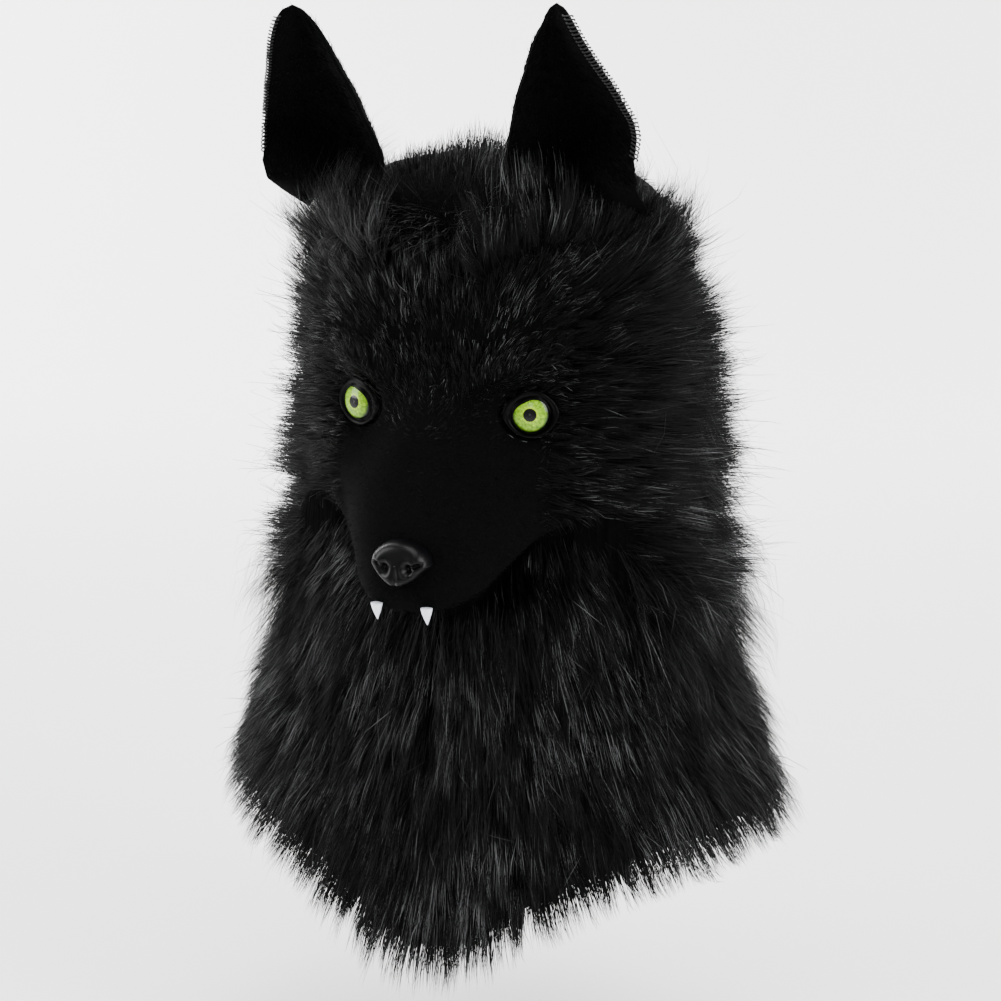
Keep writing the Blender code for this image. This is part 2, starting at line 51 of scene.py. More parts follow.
headShape = {
    "drop": 0.289, "halfWidth": 0.115, "front": 0.104, "back": 0.118, "power": 2.3,
    "wall": 0.003, "faceAngle": math.radians(62), "hairline": 0.13, "throatTuck": 0.012,
}
headLevels = namedColumns("drop width front back", (
    (0.000, 0.00, 0.00, 0.00),
    (0.010, 0.36, 0.40, 0.36),
    (0.030, 0.62, 0.66, 0.60),
    (0.070, 0.80, 0.82, 0.76),
    (0.150, 0.92, 0.93, 0.88),
    (0.270, 0.98, 0.98, 0.96),
    (0.390, 0.99, 1.00, 1.00),
    (0.530, 1.00, 1.00, 1.00),
    (0.670, 1.02, 0.98, 0.97),
    (0.810, 1.07, 0.95, 0.92),
    (0.910, 1.13, 0.92, 0.89),
    (1.000, 1.20, 0.90, 0.88),
))
muzzleShape = {"reach": 0.150, "halfWidth": 0.072, "power": 2.6, "blend": 9.0}
muzzleLevels = namedColumns("drop reach width", (
    (0.20, 0.00, 0.00),
    (0.36, 0.60, 0.12),
    (0.46, 0.69, 0.28),
    (0.53, 0.73, 0.50),
    (0.60, 0.79, 0.78),
    (0.68, 0.87, 0.98),
    (0.75, 0.94, 1.00),
    (0.82, 0.98, 0.92),
    (0.88, 1.00, 0.84),
    (0.93, 0.96, 0.76),
    (0.96, 0.90, 0.70),
))
lipLine = namedColumns("angle drop", (
    (0.00, 0.925),
    (0.15, 0.912),
    (0.30, 0.880),
    (0.45, 0.820),
    (0.60, 0.768),
    (0.80, 0.737),
    (1.00, 0.725),
))
eyeShape = {
    "side": 0.061, "drop": 0.145, "radius": 0.0124, "bulge": 0.0050, "edge": 0.0018,
    "turn": math.radians(18), "lidWidth": 0.0040, "lidHeight": 0.0042, "lidCorner": 0.20,
    "gap": 0.0003, "clearance": 0.0009, "sunk": 0.0070,
}
browRise = 0.009
faceRelief = namedColumns("side drop sideSpread dropSpread slope height", (
    (0.85, 0.80, 0.45, 0.062, 0.42, 1.00),
    (1.00, 1.00, 0.32, 0.120, 0.00, -0.45),
    (1.18, 1.27, 0.36, 0.130, 0.00, 0.55),
    (0.00, 0.80, 0.18, 0.150, 0.00, -0.35),
))
mantleShape = {
    "sideDrop": 0.125, "frontDrop": 0.228, "backDrop": 0.130, "hemPower": 1.1,
    "halfWidth": 0.182, "front": 0.116, "back": 0.140, "power": 2.2, "wall": 0.002,
    "notchRise": 0.014, "notchAngle": math.radians(10), "seam": 0.0005,
}
mantleLevels = namedColumns("drop width front back", (
    (0.00, 0.758, 0.807, 0.742),
    (0.20, 0.820, 0.830, 0.790),
    (0.45, 0.890, 0.880, 0.860),
    (0.70, 0.950, 0.930, 0.930),
    (1.00, 1.000, 1.000, 1.000),
    (1.20, 1.020, 1.040, 1.030),
))


# Cubic between the rows without overshoot, and level past the ends
def readColumn(rows, key, column, at):
    x, y = rows[key], rows[column]
    slope = np.diff(y) / np.diff(x)
    inner = slope[:-1] * slope[1:]
    mean = np.where(inner > 0, 2 * inner / np.where(inner > 0, slope[:-1] + slope[1:], 1), 0)
    tangent = np.concatenate([slope[:1], mean, slope[-1:]])
    at = np.clip(at, x[0], x[-1])
    i = np.clip(np.searchsorted(x, at, side="right") - 1, 0, len(x) - 2)
    h = x[i + 1] - x[i]
    t = (at - x[i]) / h
    return (y[i] * (1 + 2 * t) * (1 - t) ** 2 + y[i + 1] * t * t * (3 - 2 * t)
            + h * tangent[i] * t * (1 - t) ** 2 + h * tangent[i + 1] * t * t * (t - 1))


# Smooth step from 0 to 1
def ease(t):
    t = np.clip(t, 0, 1)
    return t * t * (3 - 2 * t)


# Each vector over its own length
def unit(vectors):
    return vectors / np.maximum(np.linalg.norm(vectors, axis=-1, keepdims=True), 1e-12)


# The angle from the front, between minus and plus half a turn
def wrapAngle(theta):
    return (np.asarray(theta, float) + math.pi) % (2 * math.pi) - math.pi


# Superellipse radius: (|sin|/a)^p + (|cos|/b)^p, to the power -1/p
def ovalReach(theta, halfWidth, front, back, power):
    depth = np.where(np.cos(theta) > 0, front, back)
    across = np.abs(np.sin(theta)) / np.maximum(halfWidth, 1e-9)
    along = np.abs(np.cos(theta)) / np.maximum(depth, 1e-9)
    return (across**power + along**power) ** (-1 / power)


# Drop of the lip line at an angle
def lipDrop(theta):
    return readColumn(lipLine, "angle", "drop", np.abs(wrapAngle(theta)) / headShape["faceAngle"])


# Sum of soft bumps and dents over the face, each a Gaussian of side and drop
def reliefAt(side, down):
    total = np.zeros_like(side)
    for row in range(len(faceRelief["side"])):
        part = {name: values[row] for name, values in faceRelief.items()}
        away = np.abs(side) - part["side"] * eyeShape["side"]
        below = down - part["drop"] * eyeShape["drop"] + part["slope"] * away
        total += part["height"] * browRise * np.exp(
            -((away / (part["sideSpread"] * eyeShape["side"])) ** 2)
            - (below / (part["dropSpread"] * eyeShape["drop"])) ** 2)
    return total


# Skull oval and muzzle oval blended by a high power, plus relief, tucked in under the lip
def headReach(theta, drop):
    theta = wrapAngle(theta)
    head = ovalReach(
        theta, headShape["halfWidth"] * readColumn(headLevels, "drop", "width", drop),
        headShape["front"] * readColumn(headLevels, "drop", "front", drop),
        headShape["back"] * readColumn(headLevels, "drop", "back", drop), headShape["power"])
    reach = muzzleShape["reach"] * readColumn(muzzleLevels, "drop", "reach", drop)
    width = muzzleShape["halfWidth"] * readColumn(muzzleLevels, "drop", "width", drop)
    muzzle = ovalReach(theta, width, reach, reach, muzzleShape["power"])
    ahead = ease(np.cos(theta) / 0.3)
    blend = muzzleShape["blend"]
    face = (head**blend + (ahead * muzzle) ** blend) ** (1 / blend)
    face = face + ahead * reliefAt(face * np.sin(theta), headShape["drop"] * drop)
    above = ease((lipDrop(theta) - drop) / 0.012 + 1)
    tuck = np.sin(np.pi * np.clip(np.abs(theta) / headShape["faceAngle"], 0, 1)) ** 2
    throat = head - headShape["throatTuck"] * tuck * ease((1 - drop) / 0.14)
    return np.where(np.abs(theta) < headShape["faceAngle"], throat + (face - throat) * above, face)


# Length of the mantle: a V at front and back, with a notch at the front seam
def mantleDrop(theta):
    theta = wrapAngle(theta)
    side = np.abs(np.sin(theta)) ** mantleShape["hemPower"]
    lowest = np.where(np.cos(theta) > 0, mantleShape["frontDrop"], mantleShape["backDrop"])
    notch = mantleShape["notchRise"] * np.exp(-((theta / mantleShape["notchAngle"]) ** 2))
    return mantleShape["sideDrop"] + (lowest - mantleShape["sideDrop"]) * (1 - side) - notch


# Reach and height of the head's outside
def headLine(theta, drop):
    return headReach(theta, drop), headShape["wall"] - headShape["drop"] * drop


# Reach and height of the mantle's outside
def mantleLine(theta, drop):
    reach = ovalReach(
        wrapAngle(theta), mantleShape["halfWidth"] * readColumn(mantleLevels, "drop", "width", drop),
        mantleShape["front"] * readColumn(mantleLevels, "drop", "front", drop),
        mantleShape["back"] * readColumn(mantleLevels, "drop", "back", drop), mantleShape["power"])
    return reach, headShape["wall"] - headShape["drop"] - mantleDrop(theta) * drop


# (r sin, -r cos, z) lifted along the normal within the upright plane at that angle
def placedOn(line, theta, drop, lift=0.0):
    theta, drop = np.broadcast_arrays(np.asarray(theta, float), np.asarray(drop, float))
    reach, height = line(theta, drop)
    step = 0.004
    reachUp, heightUp = line(theta, np.maximum(drop - step, 0))
    reachDown, heightDown = line(theta, drop + step)
    out = np.where(drop > 0, heightUp - heightDown, 0)
    rise = reachDown - reachUp
    length = np.hypot(out, rise)
    reach = reach + lift * out / length
    height = height + lift * rise / length
    return np.stack([reach * np.sin(theta), -reach * np.cos(theta), height], -1)


# A grid of a wall's points, outward directions and lengths per unit of angle and of drop
def measuredWall(line, longest, across=721, down=421):
    theta = np.linspace(-math.pi, math.pi, across)[None, :]
    drop = np.linspace(0, longest, down)[:, None]
    points = placedOn(line, theta, drop)
    byAngle = (placedOn(line, theta + 0.01, drop) - placedOn(line, theta - 0.01, drop)) / 0.02
    lower, upper = drop + 0.006, np.maximum(drop - 0.006, 0)
    byDrop = (placedOn(line, theta, lower) - placedOn(line, theta, upper)) / (lower - upper)[..., None]
    out = np.cross(byDrop, byAngle)
    flat = np.linalg.norm(byAngle, axis=-1) < 0.004
    out = unit(np.where(flat[..., None], [0, 0, 1.0], out))
    lengths = np.stack([np.linalg.norm(byAngle, axis=-1), np.linalg.norm(byDrop, axis=-1)], -1)
    return {"grid": np.concatenate([points, out, lengths], -1), "longest": longest}


# Place, outward direction, and length per unit of angle and drop, read between grid points
def onWall(wall, theta, drop):
    grid = wall["grid"]
    u = (wrapAngle(theta) + math.pi) / (2 * math.pi) * (grid.shape[1] - 1)
    v = np.clip(np.asarray(drop, float) / wall["longest"], 0, 1) * (grid.shape[0] - 1)
    u, v = np.broadcast_arrays(u, v)
    i = np.clip(np.floor(u).astype(int), 0, grid.shape[1] - 2)
    j = np.clip(np.floor(v).astype(int), 0, grid.shape[0] - 2)
    s, t = (u - i)[..., None], (v - j)[..., None]
    value = ((1 - t) * ((1 - s) * grid[j, i] + s * grid[j, i + 1])
             + t * ((1 - s) * grid[j + 1, i] + s * grid[j + 1, i + 1]))
    return value[..., :3], unit(value[..., 3:6]), value[..., 6], value[..., 7]


headWall = measuredWall(headLine, 1.3)
mantleWall = measuredWall(mantleLine, 1.2)
print("walls measured")


# Point of the face at a distance from its middle: the angle is found by repeated halving
def facePoint(side, drop, turns=30):
    side, drop = np.broadcast_arrays(np.asarray(side, float), np.asarray(drop, float))
    share = drop / headShape["drop"]
    reach = headReach(np.zeros_like(side), share)
    for _ in range(turns):
        angle = np.arcsin(np.clip(side / reach, -0.98, 0.98))
        reach = 0.5 * reach + 0.5 * headReach(angle, share)
    return np.stack([side, -reach * np.cos(angle), headShape["wall"] - drop], -1)


# Radius of the rim's inside, longer at its two corners
def lidInside(around):
    corners = 1 + eyeShape["lidCorner"] * np.abs(np.cos(around)) ** 6
    return (eyeShape["radius"] + eyeShape["gap"]) * corners


# Seat of an eye, sunk from clear of the face, and its ways across, up and ahead
def eyeFrame(side):
    angle = eyeShape["turn"] * side
    ahead = np.array([math.sin(angle), -math.cos(angle), 0.0])
    across = np.array([math.cos(angle), math.sin(angle), 0.0])
    centre = facePoint(side * eyeShape["side"], eyeShape["drop"])
    around = np.linspace(0, 2 * math.pi, 48, endpoint=False)
    rings = np.linspace(0, 1, 9)[:, None] * (lidInside(around) + eyeShape["lidWidth"])
    sideways = centre[0] + (rings * np.cos(around)) * across[0]
    drop = headShape["wall"] - centre[2] - rings * np.sin(around)
    lift = np.max((facePoint(sideways, drop) - centre) @ ahead) + eyeShape["clearance"] - eyeShape["sunk"]
    return centre + ahead * lift, across, np.array([0.0, 0.0, 1.0]), ahead


# Points of the face pressed back to just behind an eye's flat back, easing out past its rim
def withSockets(points):
    for side in (1, -1):
        centre, across, up, ahead = eyeFrame(side)
        away = points - centre
        height = away @ ahead
        flat = np.hypot(away @ across / (1 + eyeShape["lidCorner"]), away @ up)
        hold = 1 - ease((flat - eyeShape["radius"] - 0.002) / 0.008)
        near = hold * (height < 0.05) * (height > -0.05)
        points = points - (np.maximum(height + 0.001, 0) * near)[..., None] * ahead
    return points


# Meshes from arrays

# An object whose faces are rows of point numbers, one array for each face size
def meshPiece(name, points, polygons, finish, attributes=None, uv=None):
    mesh = bpy.data.meshes.new(name)
    points = np.ascontiguousarray(points, np.float32).reshape(-1, 3)
    mesh.vertices.add(len(points))
    mesh.vertices.foreach_set("co", points.ravel())
    loops = np.concatenate([rows.ravel() for rows in polygons]).astype(np.int32)
    sizes = np.concatenate([np.full(len(rows), rows.shape[1]) for rows in polygons])
    mesh.loops.add(len(loops))
    mesh.loops.foreach_set("vertex_index", loops)
    mesh.polygons.add(len(sizes))
    mesh.polygons.foreach_set("loop_start", np.concatenate([[0], np.cumsum(sizes)[:-1]]).astype(np.int32))
    mesh.polygons.foreach_set("use_smooth", np.ones(len(sizes), bool))
    for key, values in (attributes or {}).items():
        made = mesh.attributes.new(key, "FLOAT", "POINT")
        made.data.foreach_set("value", np.ascontiguousarray(values, np.float32).ravel())
    if uv is not None:
        layer = mesh.uv_layers.new(name="UVMap")
        layer.data.foreach_set("uv", np.ascontiguousarray(uv.reshape(-1, 2)[loops], np.float32).ravel())
    mesh.update(calc_edges=True)
    mesh.materials.append(finish)
    piece = bpy.data.objects.new(name, mesh)
    bpy.context.scene.collection.objects.link(piece)
    return piece


# Rides the one body, and hides the node that it replaces, if any
def fitted(piece, node=None):
    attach(piece, "root")
    if node:
        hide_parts(node)
    return piece


# Faces of a grid stored row by row, turned so that rows down and columns across face out
def gridQuads(rows, cols, ring=False, start=0):
    row = np.arange(rows - 1)[:, None] * cols
    col = np.arange(cols if ring else cols - 1)[None, :]
    after = (col + 1) % cols
    quads = np.stack([row + col, row + cols + col, row + cols + after, row + after], -1)
    return quads.reshape(-1, 4) + start


# A body between two matching grids, with its borders joined
def closedGrid(name, front, back, finish, ring=False, capTop=True, uv=None):
    rows, cols = front.shape[:2]
    count = rows * cols
    number = np.arange(count).reshape(rows, cols)
    faces = [gridQuads(rows, cols, ring), gridQuads(rows, cols, ring, count)[:, ::-1]]

    # Quads that join a border of the front to the same border of the back
    def band(line, closed):
        here = line if not closed else np.append(line, line[0])
        return np.stack([here[:-1], here[1:], here[1:] + count, here[:-1] + count], -1)

    if capTop:
        faces.append(band(number[0, ::-1], ring))
    faces.append(band(number[-1], ring))
    if not ring:
        faces.append(band(number[:, 0], False))
        faces.append(band(number[::-1, -1], False))
    points = np.concatenate([front.reshape(-1, 3), back.reshape(-1, 3)])
    both = None if uv is None else np.concatenate([uv.reshape(-1, 2)] * 2)
    return meshPiece(name, points, [np.concatenate(faces)], finish, uv=both)


# A closed body from a grid whose rows are closed loops: rows x cols, both wrap
def spunSection(name, section, finish, uv=None):
    rows, cols = section.shape[:2]
    row = np.arange(rows)[:, None]
    col = np.arange(cols)[None, :]
    nextRow, nextCol = (row + 1) % rows, (col + 1) % cols
    quads = np.stack([row * cols + col, nextRow * cols + col, nextRow * cols + nextCol,
                      row * cols + nextCol], -1).reshape(-1, 4)
    return meshPiece(name, section, [quads], finish, uv=uv)


# Strands: at each step the point plus and minus half a width, sideways being the way along
# crossed with the way out and rolled a little; the last step is one point
def ribbons(name, path, out, width, roll, glintAndTone, finish):
    count, steps = path.shape[:2]
    along = unit(np.gradient(path, axis=1))
    side = unit(np.cross(along, out))
    up = np.cross(side, along)
    roll = roll[:, None, None]
    side = side * np.cos(roll) + up * np.sin(roll)
    share = np.linspace(0, 1, steps)[None, :, None]
    half = 0.5 * width[:, None, None] * (1 - 0.75 * share**1.5)
    left, right = path - side * half, path + side * half
    body = np.stack([left[:, :-1], right[:, :-1]], 2).reshape(count, -1, 3)
    points = np.concatenate([body, path[:, -1:]], 1)
    each = points.shape[1]
    base = np.arange(count)[:, None] * each
    step = 2 * np.arange(steps - 2)[None, :]
    quads = np.stack([base + step, base + step + 1, base + step + 3, base + step + 2], -1)
    last = base[:, 0] + 2 * (steps - 2)
    tips = np.stack([last, last + 1, last + 2], -1)
    steepness = np.concatenate([np.repeat(np.linspace(0, 1, steps)[:-1], 2), [1.0]])
    # The per-strand value holds tone and painted highlight, and the share from root to tip lets the fur
    # material paint shade at the roots
    attributes = {"glintAndTone": np.repeat(glintAndTone, each), "along": np.tile(steepness, count)}
    return meshPiece(name, points, [quads.reshape(-1, 4), tips], finish, attributes)


# Materials

# sRGB hex to linear: ((c + 0.055) / 1.055)^2.4, or c / 12.92 near black
def linearColour(text):
    value = np.array([int(text[i:i + 2], 16) / 255 for i in (1, 3, 5)])
    value = np.where(value > 0.04045, ((value + 0.055) / 1.055) ** 2.4, value / 12.92)
    return (*value.tolist(), 1.0)


# One node: settings are its properties, inputs its sockets' values or what feeds them, and stops
# the places and hex colours of a ramp
def addNode(tree, kind, inputs=None, stops=(), **settings):
    made = tree.nodes.new(kind)
    for key, value in settings.items():
        setattr(made, key, value)
    for key, value in (inputs or {}).items():
        if isinstance(value, bpy.types.NodeSocket):
            tree.links.new(value, made.inputs[key])
        else:
            made.inputs[key].default_value = value
    for number, (place, colour) in enumerate(stops):
        elements = made.color_ramp.elements
        stop = elements[number] if number < 2 else elements.new(place)
        stop.position = place
        stop.color = linearColour(colour)
    return made


# A material with its shader's own sockets set by name
def newMaterial(name, **sockets):
    made = bpy.data.materials.new(name)
    made.use_nodes = True
    shader = made.node_tree.nodes["Principled BSDF"]
    for key, value in sockets.items():
        shader.inputs[key.replace("_", " ")].default_value = value
    return made, made.node_tree, shader


# Pile fibres: painted shade darkens them towards the root, and single grey fibres among the black ones are
# painted highlights at their tips
def furMaterial(name, look):
    made, tree, shader = newMaterial(
        name, Roughness=look["roughness"], Specular_IOR_Level=look["specular"],
        Sheen_Weight=look["sheen"], Sheen_Roughness=0.4)
    glintAndTone = addNode(tree, "ShaderNodeAttribute", attribute_name="glintAndTone").outputs["Fac"]
    along = addNode(tree, "ShaderNodeAttribute", attribute_name="along").outputs["Fac"]
    place = addNode(tree, "ShaderNodeTexCoord").outputs["Object"]
    patch = addNode(tree, "ShaderNodeTexNoise", {"Vector": place, "Scale": look["patches"], "Detail": 2.0})
    patchy = addNode(tree, "ShaderNodeMath", {0: glintAndTone, 1: patch.outputs["Fac"]}, operation="MULTIPLY")
    lit = addNode(tree, "ShaderNodeMath", {0: patchy.outputs[0], 1: along}, operation="MULTIPLY")
    # The ramp turns each strand's tone and painted highlight, times noise patches and the share from root
    # to tip, into colour: painted shade at the roots, painted grey highlights at the tips
    colour = addNode(tree, "ShaderNodeValToRGB", {"Fac": lit.outputs[0]},
                     stops=look["colours"]).outputs["Color"]
    tree.links.new(colour, shader.inputs["Base Color"])
    return made


longPileLook = {
    # Modacrylic long pile, dyed black: painted shade makes the roots deep black, and painted grey
    # highlights light the tips
    "roughness": 0.45, "specular": 0.07, "sheen": 0.0, "patches": 26.0,
    "colours": ((0.0, "#020202"), (0.17, "#050505"), (0.46, "#666768")),
}
shortPileLook = {
    # Short minky plush: matt black, with painted shade at the roots and a faint painted sheen at the tips
    "roughness": 0.75, "specular": 0.04, "sheen": 0.0, "patches": 60.0,
    "colours": ((0.0, "#030303"), (0.28, "#070708"), (0.55, "#26272a")),
}
longPile = furMaterial("modacrylicLongPile", longPileLook)
shortPile = furMaterial("minkyShortPile", shortPileLook)


# Knitted short plush under its pile: noise bumps of about a millimetre
def plushMaterial():
    made, tree, shader = newMaterial("minkyPlushSkin", Roughness=0.9, Specular_IOR_Level=0.03)
    place = addNode(tree, "ShaderNodeTexCoord").outputs["Object"]
    grain = addNode(tree, "ShaderNodeTexNoise", {"Vector": place, "Scale": 900.0, "Detail": 3.0})
    colour = addNode(tree, "ShaderNodeValToRGB", {"Fac": grain.outputs["Fac"]},
                     stops=((0.3, "#020202"), (0.8, "#070708"))).outputs["Color"]
    bump = addNode(tree, "ShaderNodeBump", {"Height": grain.outputs["Fac"], "Strength": 0.6,
                                           "Distance": 0.0008})
    tree.links.new(colour, shader.inputs["Base Color"])
    tree.links.new(bump.outputs["Normal"], shader.inputs["Normal"])
    return made


# Knitted backing of faux fur: wales 1.6 mm apart on UVs in metres, drawn coarse to show
def backingMaterial():
    made, tree, shader = newMaterial("knittedFurBacking", Roughness=0.92, Specular_IOR_Level=0.05)
    spread = addNode(tree, "ShaderNodeUVMap", uv_map="UVMap").outputs["UV"]
    wales = addNode(tree, "ShaderNodeTexWave", {"Vector": spread, "Scale": 98.0, "Distortion": 1.5,
                                                "Detail": 1.0}, wave_type="BANDS", bands_direction="X")
    rows = addNode(tree, "ShaderNodeTexWave", {"Vector": spread, "Scale": 130.0, "Distortion": 2.0,
                                               "Detail": 1.0}, wave_type="BANDS", bands_direction="Y")
    knit = addNode(tree, "ShaderNodeMath", {0: wales.outputs["Fac"], 1: rows.outputs["Fac"]},
                   operation="MULTIPLY")
    colour = addNode(tree, "ShaderNodeValToRGB", {"Fac": knit.outputs[0]},
                     stops=((0.0, "#060607"), (1.0, "#161618"))).outputs["Color"]
    bump = addNode(tree, "ShaderNodeBump", {"Height": knit.outputs[0], "Strength": 0.7, "Distance": 0.0006})
    tree.links.new(colour, shader.inputs["Base Color"])
    tree.links.new(bump.outputs["Normal"], shader.inputs["Normal"])
    return made


# Packed pile below the combed strands: black with streaks that run down
def furBedMaterial():
    made, tree, shader = newMaterial("packedPile", Roughness=0.9, Specular_IOR_Level=0.02)
    place = addNode(tree, "ShaderNodeTexCoord").outputs["Object"]
    stretched = addNode(tree, "ShaderNodeMapping", {"Vector": place, "Scale": (420.0, 420.0, 40.0)})
    streak = addNode(tree, "ShaderNodeTexNoise", {"Vector": stretched.outputs["Vector"], "Scale": 1.0,
                                                  "Detail": 3.0})
    colour = addNode(tree, "ShaderNodeValToRGB", {"Fac": streak.outputs["Fac"]},
                     stops=((0.35, "#020202"), (0.8, "#060606"))).outputs["Color"]
    bump = addNode(tree, "ShaderNodeBump", {"Height": streak.outputs["Fac"], "Strength": 0.8,
                                           "Distance": 0.0015})
    tree.links.new(colour, shader.inputs["Base Color"])
    tree.links.new(bump.outputs["Normal"], shader.inputs["Normal"])
    return made


# Painted iris under a clear resin dome. UVs are the disc's own plane, 0.5 at its middle;
# the colour goes by distance from there, and the streaks by direction and distance
def irisMaterial(look):
    made, tree, shader = newMaterial("castResinEye", Roughness=0.35, Specular_IOR_Level=0.1,
                                     Coat_Weight=0.45, Coat_Roughness=0.04, Coat_IOR=1.4)
    spread = addNode(tree, "ShaderNodeUVMap", uv_map="UVMap").outputs["UV"]
    flat = addNode(tree, "ShaderNodeVectorMath", {0: spread, 1: (0.5, 0.5, 0.0)}, operation="SUBTRACT")
    reach = addNode(tree, "ShaderNodeVectorMath", {0: flat.outputs[0]}, operation="LENGTH").outputs["Value"]
    facing = addNode(tree, "ShaderNodeVectorMath", {0: flat.outputs[0]}, operation="NORMALIZE").outputs[0]
    fibres = addNode(tree, "ShaderNodeTexNoise", {"Vector": facing, "Scale": look["fibres"], "Detail": 4.0,
                                                  "Roughness": 0.7})
    mottle = addNode(tree, "ShaderNodeTexNoise", {"Vector": spread, "Scale": 14.0, "Detail": 3.0})
    streaks = addNode(tree, "ShaderNodeMath", {0: fibres.outputs["Fac"], 1: mottle.outputs["Fac"]},
                      operation="MULTIPLY")
    green = addNode(tree, "ShaderNodeValToRGB", {"Fac": streaks.outputs[0]},
                     stops=look["greens"]).outputs["Color"]
    wobble = addNode(tree, "ShaderNodeMath", {0: fibres.outputs["Fac"], 1: look["wobble"], 2: reach},
                     operation="MULTIPLY_ADD").outputs[0]
    rings = addNode(tree, "ShaderNodeValToRGB", {"Fac": wobble},
                     stops=look["rings"]).outputs["Color"]
    mixed = addNode(tree, "ShaderNodeMix", {"Factor": 1.0, "A": green, "B": rings}, data_type="RGBA",
                    blend_type="MULTIPLY")
    tree.links.new(mixed.outputs[2], shader.inputs["Base Color"])
    return made


# Moulded part: one colour, with a fine skin of the given grain per metre and depth
def glossMaterial(name, colour, roughness, grain, depth, **sockets):
    made, tree, shader = newMaterial(name, Base_Color=linearColour(colour), Roughness=roughness, **sockets)
    place = addNode(tree, "ShaderNodeTexCoord").outputs["Object"]
    skin = addNode(tree, "ShaderNodeTexNoise", {"Vector": place, "Scale": grain, "Detail": 4.0})
    bump = addNode(tree, "ShaderNodeBump", {"Height": skin.outputs["Fac"], "Strength": 0.5,
                                           "Distance": depth})
    tree.links.new(bump.outputs["Normal"], shader.inputs["Normal"])
    return made


plushSkin = plushMaterial()
furBacking = backingMaterial()
furBed = furBedMaterial()
resinEye = irisMaterial({
    "fibres": 22.0, "wobble": 0.03,
    "greens": ((0.12, "#4f7404"), (0.25, "#86ad0c"), (0.42, "#c3e02c")),
    "rings": ((0.0, "#010101"), (0.180, "#010101"), (0.194, "#ffffff"), (0.222, "#ffffff"),
              (0.26, "#dff0b0"), (0.40, "#c4d890"), (0.445, "#6a7c34"), (0.47, "#030303")),
})
# Lacquered rim: a faint broken highlight; vinyl nose: a soft satin one; resin fangs: pale with a
# clear coat; sewing thread: a dull sheen that picks out each stitch
rimGloss = glossMaterial("blackLacqueredRim", "#020202", 0.32, 500.0, 0.0001, Specular_IOR_Level=0.05)
noseVinyl = glossMaterial("mouldedBlackVinyl", "#030304", 0.33, 1400.0, 0.00012, Specular_IOR_Level=0.12)
fangResin = glossMaterial("castIvoryResin", "#e6ecf6", 0.25, 600.0, 0.00005, Specular_IOR_Level=0.5,
                          Coat_Weight=0.3)
seamThread = glossMaterial("polyesterThread", "#0d0d0e", 0.55, 2500.0, 0.0001, Specular_IOR_Level=0.25)
print("materials made")


# Cloth walls


# A grid on a wall, and the same grid set in by the cloth's thickness
def clothWall(name, wall, theta, drop, thickness, finish, node, slot, held, restsOn, ring=False):
    points, out, _, byDrop = onWall(wall, theta, drop)
    if node == "face":
        points = withSockets(points)
    spread = np.stack([0 * drop + wrapAngle(theta) * headShape["halfWidth"], drop * np.mean(byDrop)], -1)
    piece = closedGrid(name, points, points - out * thickness, finish, ring=ring, uv=spread)
    fitted(piece, node)


faceGrid = {"columns": 105, "faceRows": 85, "throatRows": 15, "sideGap": 0.0105, "topGap": 0.004,
            "lowest": 0.9958}


# Angles and drops of the face's grid: even rows from the hairline to the lip line, and on down the throat
def faceRows():
    widest = headShape["faceAngle"] - faceGrid["sideGap"]
    angles = np.linspace(-1, 1, faceGrid["columns"])[None, :] * widest
    lip = lipDrop(angles)
    top = headShape["hairline"] + faceGrid["topGap"]
    drops = top + (lip - top) * np.linspace(0, 1, faceGrid["faceRows"])[:, None]
    throat = lip + (faceGrid["lowest"] - lip) * np.linspace(0, 1, faceGrid["throatRows"])[1:, None]
    drops = np.concatenate([drops, throat])
    return angles + 0 * drops, drops


clothWall("facePlush", headWall, *faceRows(), headShape["wall"], plushSkin, "face", "short_plush",
          "stretched", ["hood"])
hoodGrid = {"columns": 96, "capRows": 21, "sideRows": 31, "crowding": 1.6, "uvHeight": 0.3}


# Crown cap and back of the head in one sheet, open at the face and the neck: the cap's rows
# run round, and behind them the rows that pass the face's opening
def hoodWall():
    angles = np.linspace(-math.pi, math.pi, hoodGrid["columns"], endpoint=False)
    hairline = headShape["hairline"]
    capDrops = hairline * np.linspace(0, 1, hoodGrid["capRows"])[1:] ** hoodGrid["crowding"]
    sideDrops = hairline + (1 - hairline) * np.linspace(0, 1, hoodGrid["sideRows"])[1:]
    drops = np.concatenate([capDrops, sideDrops])
    points, _, _, _ = onWall(headWall, angles[None, :] + 0 * drops[:, None], drops[:, None])
    rows, cols = points.shape[:2]
    quads = gridQuads(rows, cols, ring=True).reshape(rows - 1, cols, 4)
    middle = wrapAngle(angles + math.pi / hoodGrid["columns"])
    inFace = np.abs(middle) < headShape["faceAngle"]
    keep = (np.arange(rows - 1)[:, None] < len(capDrops) - 1) | ~inFace[None, :]
    outer = quads[keep]
    count = rows * cols
    pole = np.stack([np.full(cols, count), np.arange(cols), (np.arange(cols) + 1) % cols], -1)
    top, _, _, _ = onWall(headWall, np.zeros(1), np.zeros(1))
    spread = np.stack([angles[None, :] * headShape["halfWidth"] + 0 * drops[:, None],
                       drops[:, None] * hoodGrid["uvHeight"] + 0 * angles], -1)
    spread = np.concatenate([spread.reshape(-1, 2), [[0, 0]]])
    made = meshPiece("hoodBacking", np.concatenate([points.reshape(-1, 3), top]), [outer, pole],
                     furBacking, uv=spread)
    wall = made.modifiers.new("wall", "SOLIDIFY")
    wall.thickness = headShape["wall"]
    wall.offset = -1
    fitted(made, "hood")


